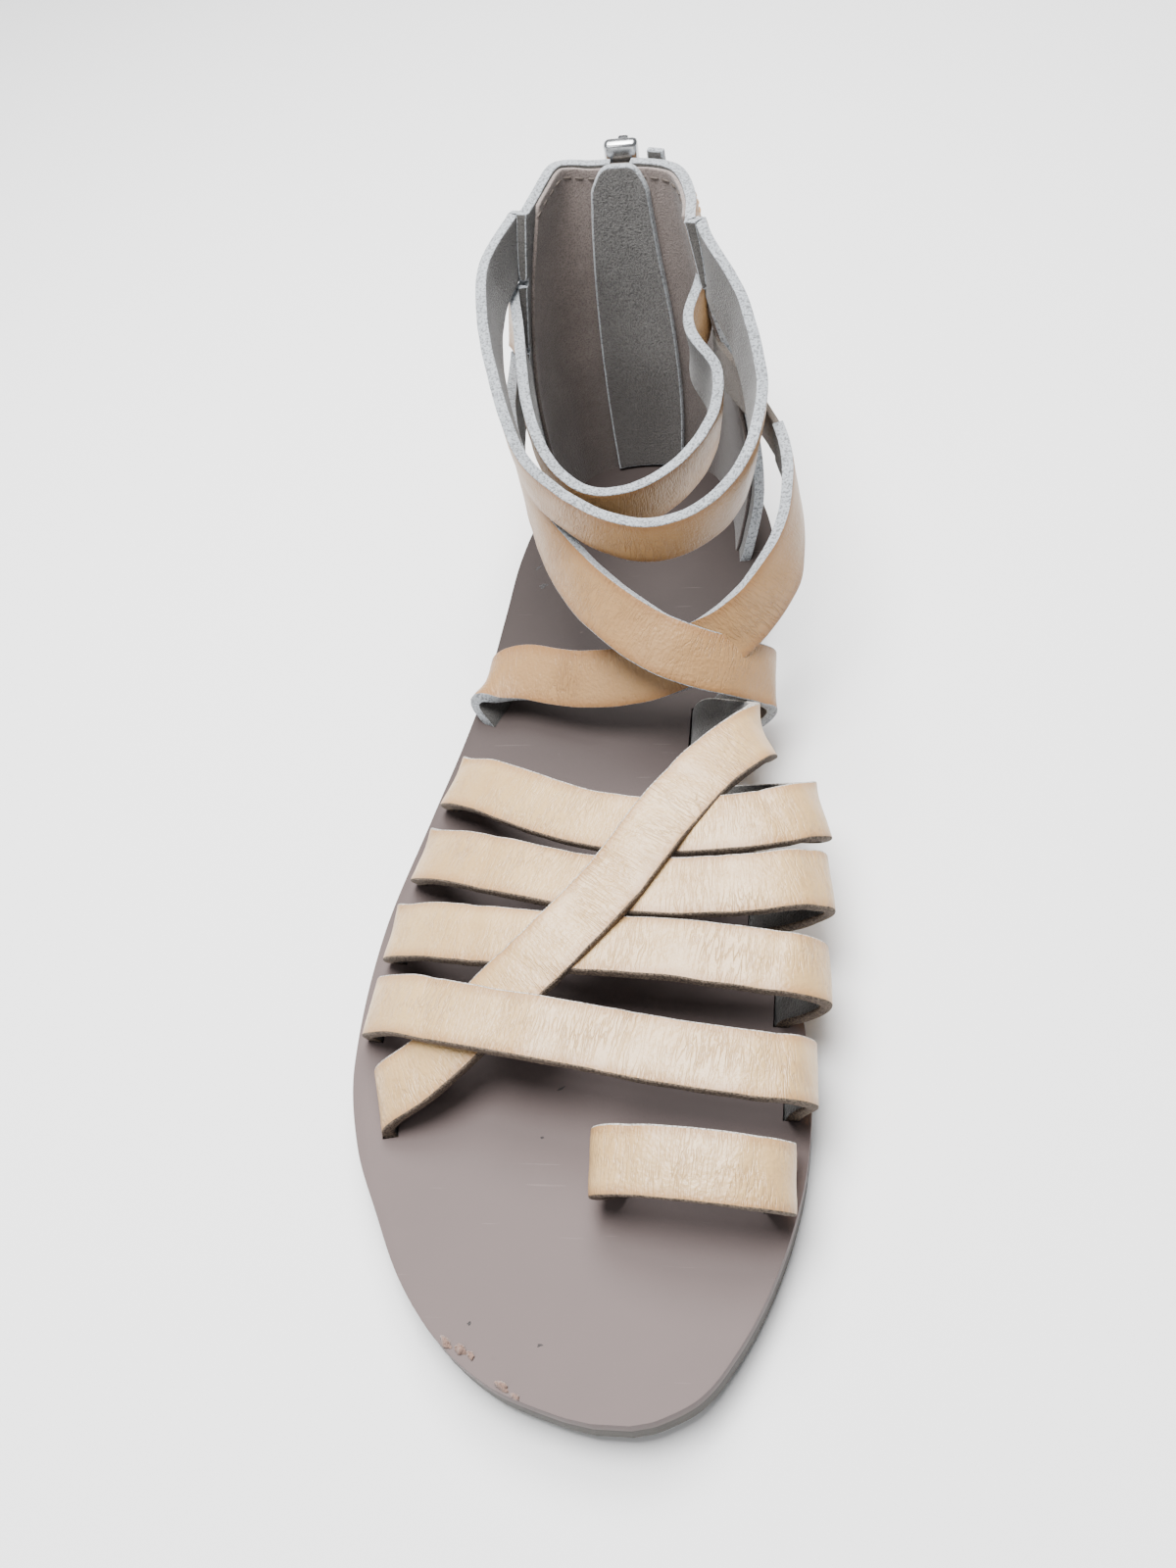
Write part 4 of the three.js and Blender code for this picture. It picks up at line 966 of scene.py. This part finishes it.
upper = join([
    shell_sheet("quarter_outer_side", 0.0, BACK_OUTER, (58, 45, 32), 0.0, 11),
    shell_sheet("quarter_inner_side", BACK_INNER, 1.0, (58,), 1.0, 12),
    lay_strap("ankle_strap_over", ANKLE_OUTER, 9, (OVER_OUTER_ROOT, OVER_INNER_ROOT)),
    lay_strap("ankle_strap_under", ANKLE_INNER[::-1], 10, (UNDER_OUTER_ROOT, None), 0.8),
    lay_strap("instep_strap_over", INSTEP_OVER[::-1], 7, (INSTEP_ROOT, None)),
], "quarters_with_ankle_straps")
edit_whole(upper)
bpy.ops.mesh.remove_doubles(threshold=2e-5)
leave_edit()
give_wall(upper, STRAP_THICKNESS, ankle_finish)
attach(upper, "shoe")
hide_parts("quarter_lateral", "quarter_medial", "ankle_strap_outer", "ankle_strap_inner",
            "instep_straps")

LINING_FRONT = 0.07           # the outer lining starts at this share, and the inner one ends half as far in
LINING_DROP = 0.7             # from the quarters' top edge to the lining's
LINING_THICKNESS = 0.9
GLUE_GAP = 0.05
for name, share_from, share_to, node, seed in (
        ("lining_outer_side", LINING_FRONT, BACK_OUTER, "quarter_lateral", 13),
        ("lining_inner_side", BACK_INNER, 1.0 - LINING_FRONT * 0.5, "quarter_medial", 14)):
    lining = wall_piece(name, share_from, share_to, QUARTER_FOOT, lambda share: top_line(share) - LINING_DROP,
                        STRAP_THICKNESS + GLUE_GAP, LINING_THICKNESS, (lining_suede,) * 3,
                        ripple=0.12, seed=seed, bevel=0.3)
    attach(lining, "shoe")
    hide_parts(node)


def repeated(name, points, pitch, size):
    """One small rounded element repeated along a line of points, as one piece on the shoe."""
    curve = bpy.data.curves.new(name + "_line", "CURVE")
    curve.dimensions = "3D"
    spline = curve.splines.new("POLY")
    spline.points.add(len(points) - 1)
    for point, place in zip(spline.points, points):
        point.co = (*at_mm(*place), 1)
    line = bpy.data.objects.new(name + "_line", curve)
    bpy.context.collection.objects.link(line)
    total = sum(math.dist(a, b) for a, b in zip(points, points[1:]))
    deselect()
    bpy.ops.mesh.primitive_uv_sphere_add(segments=10, ring_count=6, radius=0.5)
    piece = bpy.context.object
    piece.name = name
    piece.data.name = name
    piece.scale = tuple(side * MM for side in size)
    piece.location = (pitch * MM / 2, 0, 0)
    bpy.ops.object.transform_apply(location=True, rotation=True, scale=True)
    repeat = piece.modifiers.new("repeat", "ARRAY")
    repeat.use_relative_offset = False
    repeat.use_constant_offset = True
    repeat.constant_offset_displace = (pitch * MM, 0, 0)
    repeat.count = max(2, int(total / pitch))
    bend = piece.modifiers.new("bend", "CURVE")
    bend.object = line
    bend.deform_axis = "POS_X"
    apply_modifiers(piece)
    bpy.data.objects.remove(line)
    smooth(piece, 80)
    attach(piece, "shoe")
    return piece


def thread(name, dark, light):
    """Waxed thread, lighter and darker along its strands."""
    made, tree, shader = material(name)
    rub = use_group(tree, rub_group, {"Vector": object_coords(tree), "Size": 2.0})
    strands = mix_colour(tree, rub.outputs["Fine"], colour(*dark), colour(*light))
    feed(tree, shader.inputs["Base Color"], strands)
    shader.inputs["Roughness"].default_value = 0.7
    return made


STITCH_PITCH = 3.0
STITCH = (2.3, 0.62, 0.62)    # length, width and height of one stitch
STITCH_SINK = 0.02            # how far the stitches' middles stand out of the leather
SEAM_DROP = 2.8               # from the top edge to its seam
SEAMS_FROM_ZIP = (5.4, 8.2)
INSIDE = STRAP_THICKNESS + LINING_THICKNESS + GLUE_GAP
outer_thread = thread("outer_thread", (150, 112, 74), (196, 160, 116))
inner_thread = thread("inner_thread", (62, 54, 49), (104, 94, 86))
for share_from, share_to in ((0.05, BACK_OUTER - 2 * PER_MM), (BACK_INNER + 2 * PER_MM, 0.95)):
    shares = np.linspace(share_from, share_to, 60)
    for name, depth, finish in (("outer", -STITCH_SINK, outer_thread), ("inner", INSIDE, inner_thread)):
        line = [on_wall(share, top_line(share) - SEAM_DROP, depth) for share in shares]
        seam = repeated("top_seam_" + name, line, STITCH_PITCH, STITCH)
        seam.data.materials.append(finish)
for side in (-1, 1):
    for from_zip in SEAMS_FROM_ZIP:
        share = BACK + side * from_zip * PER_MM
        line = [on_wall(share, up, -STITCH_SINK) for up in np.linspace(11, 86, 50)]
        seam = repeated("zip_seam", line, STITCH_PITCH, STITCH)
        seam.data.materials.append(outer_thread)


# ------------------------------------------------------------------ zip
# A nickel-plated zip, sewn in at the back: tape between the quarters, a felt guard behind it against the
# skin, a slider at the top with a hanging pull tab, and a small leather tab over the tape's end.
# The guard felt also darkens low down with painted shade inside the heel.
guard_felt = fuzzy("guard_felt", (84, 82, 80), (122, 120, 117), (54, 52, 50), 0.8, 0.0007, (50, 44, 40))
GUARD_WIDTH = 20.0
GUARD_TOP = 90.6
GUARD_ROUND = 6.0             # how far its rounded top corners drop
GUARD_THICKNESS = 1.8
ZIP_FOOT = 10.0


def guard_top(share):
    across = abs(share - BACK) / PER_MM / (GUARD_WIDTH / 2)
    return GUARD_TOP - GUARD_ROUND * max(0.0, (across - 0.25) / 0.75) ** 3


guard_half = GUARD_WIDTH / 2 * PER_MM
guard = wall_piece("zip_guard_felt", BACK - guard_half, BACK + guard_half, ZIP_FOOT, guard_top, INSIDE,
                   GUARD_THICKNESS, (guard_felt, guard_felt, cut_edge), columns=30,
                   ripple=0.3, seed=15, bevel=0.5)
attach(guard, "shoe")
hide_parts("zip_guard")

webbing = fuzzy("zip_webbing", (84, 76, 68), (108, 98, 88), (62, 55, 49))
tape_half = 3.6 * PER_MM
tape = wall_piece("zip_tape_strip", BACK - tape_half, BACK + tape_half, ZIP_FOOT, lambda share: 89.2,
                  0.6, 1.1, (webbing,) * 3, columns=8, bevel=0.2)
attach(tape, "shoe")
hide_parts("zip_tape")


def metal(name):
    """Nickel plate, slightly worn and dulled by handling."""
    made, tree, shader = material(name)
    rub = use_group(tree, rub_group, {"Vector": object_coords(tree), "Size": 3.0})
    dulled = mix_colour(tree, rub.outputs["Mottle"], colour(176, 178, 180), colour(206, 207, 208))
    feed(tree, shader.inputs["Base Color"], dulled)
    feed(tree, shader.inputs["Roughness"], math_node(tree, "MULTIPLY_ADD", rub.outputs["Mottle"], 0.2, 0.16))
    shader.inputs["Metallic"].default_value = 1.0
    return made


nickel = metal("nickel_plate")
TEETH_TOP = 83.4
TOOTH_PITCH = 1.2
TOOTH = (0.75, 1.5, 2.6)      # height along the zip, depth and width
teeth_rows = []
for side, start in ((-0.75, 11.0), (0.75, 11.6)):      # the two rows mesh half a pitch apart
    line = [on_wall(BACK + side * PER_MM, up, 0.1) for up in np.linspace(start, TEETH_TOP, 60)]
    teeth_rows.append(repeated("zip_teeth_row", line, TOOTH_PITCH, TOOTH))
teeth = join(teeth_rows, "zip_teeth_rows")
teeth.data.materials.append(nickel)
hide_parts("zip_teeth")

end_tab = wall_piece("zip_end_cover", BACK_INNER + 5 * PER_MM, BACK_INNER + 10.5 * PER_MM, 80.0,
                     lambda share: 91.6, -1.9, 1.6, ankle_finish, columns=8, rows=14, bevel=0.4)
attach(end_tab, "shoe")
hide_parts("zip_end_tab")

SLIDER_FACE = HEEL_Y - 0.1    # the slider's side against the teeth
HINGE_Y = SLIDER_FACE + 5.3
HINGE_Z = 87.6


def block(name, low, high, bevel):
    """A rounded block between two corners in the tables' millimetres."""
    deselect()
    bpy.ops.mesh.primitive_cube_add(size=1)
    piece = bpy.context.object
    piece.name = name
    piece.scale = tuple((b - a) * MM for a, b in zip(low, high))
    piece.location = at_mm(*((a + b) / 2 for a, b in zip(low, high)))
    bpy.ops.object.transform_apply(location=True, rotation=True, scale=True)
    rim_bevel(piece, bevel * MM, 3, 30)
    smooth(piece, 40)
    return piece


slider = join([
    block("slider_body", (-3.9, SLIDER_FACE, 84.0), (3.9, SLIDER_FACE + 3.2, 93.0), 1.1),
    block("slider_bridge_top", (-1.2, SLIDER_FACE + 2.8, 89.7), (1.2, HINGE_Y + 2.5, 90.9), 0.4),
    block("slider_bridge_foot", (-1.2, SLIDER_FACE + 2.8, 84.3), (1.2, HINGE_Y + 2.5, 85.5), 0.4),
    block("slider_bridge_back", (-1.2, HINGE_Y + 1.3, 84.3), (1.2, HINGE_Y + 2.5, 90.9), 0.4),
], "zip_slider_body")
slider.data.materials.append(nickel)
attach(slider, "shoe")
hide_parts("zip_slider")

PULL_HALF, PULL_LENGTH, PULL_THICKNESS = 3.2, 21.0, 1.3
PULL_BAR = 0.8                # half height of the bar that turns in the slider's bridge
WINDOW_HALF, WINDOW_TOP, WINDOW_FOOT = 1.9, -0.8, -5.4
PULL_STEPS, PULL_RINGS = 48, 3
pull = grid_piece("pull_tab_plate", PULL_STEPS, PULL_RINGS)


def oval(angle, half, low, high, squareness_x, squareness_z):
    """A point of a rounded outline; the smaller its powers, the squarer it is."""
    dx, dz = math.sin(angle), math.cos(angle)
    x = half * math.copysign(abs(dx) ** squareness_x, dx)
    z = (low + high) / 2 + (high - low) / 2 * math.copysign(abs(dz) ** squareness_z, dz)
    return Vector((x, z))


def on_pull(u, v):
    """A ring from the window (v = 0) to the outline (v = 1), which narrows downwards."""
    angle = 2 * math.pi * u
    window = oval(angle, WINDOW_HALF, WINDOW_FOOT, WINDOW_TOP, 0.35, 0.35)
    outline = oval(angle, PULL_HALF * (0.86 + 0.14 * math.cos(angle)), -PULL_LENGTH, PULL_BAR, 0.6, 0.75)
    where = window.lerp(outline, v)
    return at_mm(where.x, HINGE_Y, HINGE_Z + where.y)


place_grid(pull, PULL_STEPS, PULL_RINGS, on_pull, (0.02, 0.004))
edit_whole(pull)
bpy.ops.mesh.remove_doubles(threshold=1e-6)
leave_edit()
wall = pull.modifiers.new("wall", "SOLIDIFY")
wall.thickness = PULL_THICKNESS * MM
wall.offset = 0
apply_modifiers(pull)
rim_bevel(pull, 0.0003, 2, 50)
outward(pull)
smooth(pull, 40)
pull.data.materials.append(nickel)
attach(pull, "pull_tab")
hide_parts("zip_pull_tab")


# ------------------------------------------------------------------ elastic
# A short piece of brown-grey elastic webbing, sewn behind the instep strap at one end and behind the
# inner quarter at the other, so that the strap gives when the foot goes in.
ELASTIC = [
    (35.6, -35.4, 57.0, -0.12, 0.15, 1), (33.4, -29.6, 56.7, -0.1, 0.1, 1),
    (30.6, -22.6, 56.6, -0.05, 0.1, 1), (26.6, -14.6, 56.6, 0, 0.1, 1), (22.2, -6.0, 56.6, 0, 0.1, 1),
    (20.6, 0.0, 56.6, 0, 0.1, 1),
]
ELASTIC_WIDTH = 11.0
ELASTIC_THICKNESS = 1.4
elastic = strap_piece("elastic_webbing", ELASTIC, 17, (webbing,) * 3, (), ELASTIC_WIDTH, ELASTIC_THICKNESS)
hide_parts("elastic_tab")


# ------------------------------------------------------------------ studio
# A plain pale floor, a large soft light overhead, a weaker one from the toe's side, and one from beyond
# the heel that gives the straps their shine. The camera looks down on the toe and frames the shoe.
deselect()
bpy.ops.mesh.primitive_plane_add(size=6, location=(0, 0, -0.0002))
floor = bpy.context.object
floor.name = "floor"
floor_material, _, floor_shader = material("pale_floor")
floor_shader.inputs["Base Color"].default_value = (0.86, 0.86, 0.86, 1)
floor_shader.inputs["Roughness"].default_value = 0.9
floor_shader.inputs["Specular IOR Level"].default_value = 0.1
floor.data.materials.append(floor_material)


def area_light(name, place, target, size, power):
    lamp = bpy.data.lights.new(name, "AREA")
    lamp.shape = "DISK"
    lamp.size = size
    lamp.energy = power
    holder = bpy.data.objects.new(name, lamp)
    bpy.context.collection.objects.link(holder)
    holder.location = place
    holder.rotation_euler = (Vector(target) - Vector(place)).to_track_quat("-Z", "Y").to_euler()


area_light("overhead", (-0.08, -0.04, 0.75), (0, -0.08, 0), 0.42, 14.5)
area_light("toe_side", (-0.4, -0.75, 0.6), (0, -0.08, 0.0), 0.5, 2.6)
area_light("sheen", (-0.02, 0.36, 0.66), (0, -0.06, 0.02), 0.42, 9.0)
world = bpy.data.worlds.new("room")
bpy.context.scene.world = world
world.use_nodes = True
world.node_tree.nodes["Background"].inputs["Color"].default_value = (0.95, 0.96, 1.0, 1)
world.node_tree.nodes["Background"].inputs["Strength"].default_value = 0.28

camera_data = bpy.data.cameras.new("camera")
camera_data.lens = 34.5
camera_data.clip_start = 0.01
camera = bpy.data.objects.new("camera", camera_data)
bpy.context.collection.objects.link(camera)
CAMERA_AT = Vector((0.0448, -0.1998, 0.2688))
FORWARD = Vector((0.0429, 0.5984, -0.8001))      # the first aim, with its level and its upward direction
LEVEL = Vector((0.9974, -0.0715, 0.0))
UPWARD = Vector((0.0572, 0.798, 0.6))
ROLL = 0.0453191
AIM = (-0.200, 0.0230)        # sideways and upward turn from the first aim, which centres the shoe
right = math.cos(ROLL) * LEVEL + math.sin(ROLL) * UPWARD
up = -math.sin(ROLL) * LEVEL + math.cos(ROLL) * UPWARD
aim = (FORWARD + AIM[0] * right + AIM[1] * up).normalized()
right = (right - right.dot(aim) * aim).normalized()
up = right.cross(aim)
camera.matrix_world = Matrix.Translation(CAMERA_AT) @ Matrix((right, up, -aim)).transposed().to_4x4()
bpy.context.scene.camera = camera
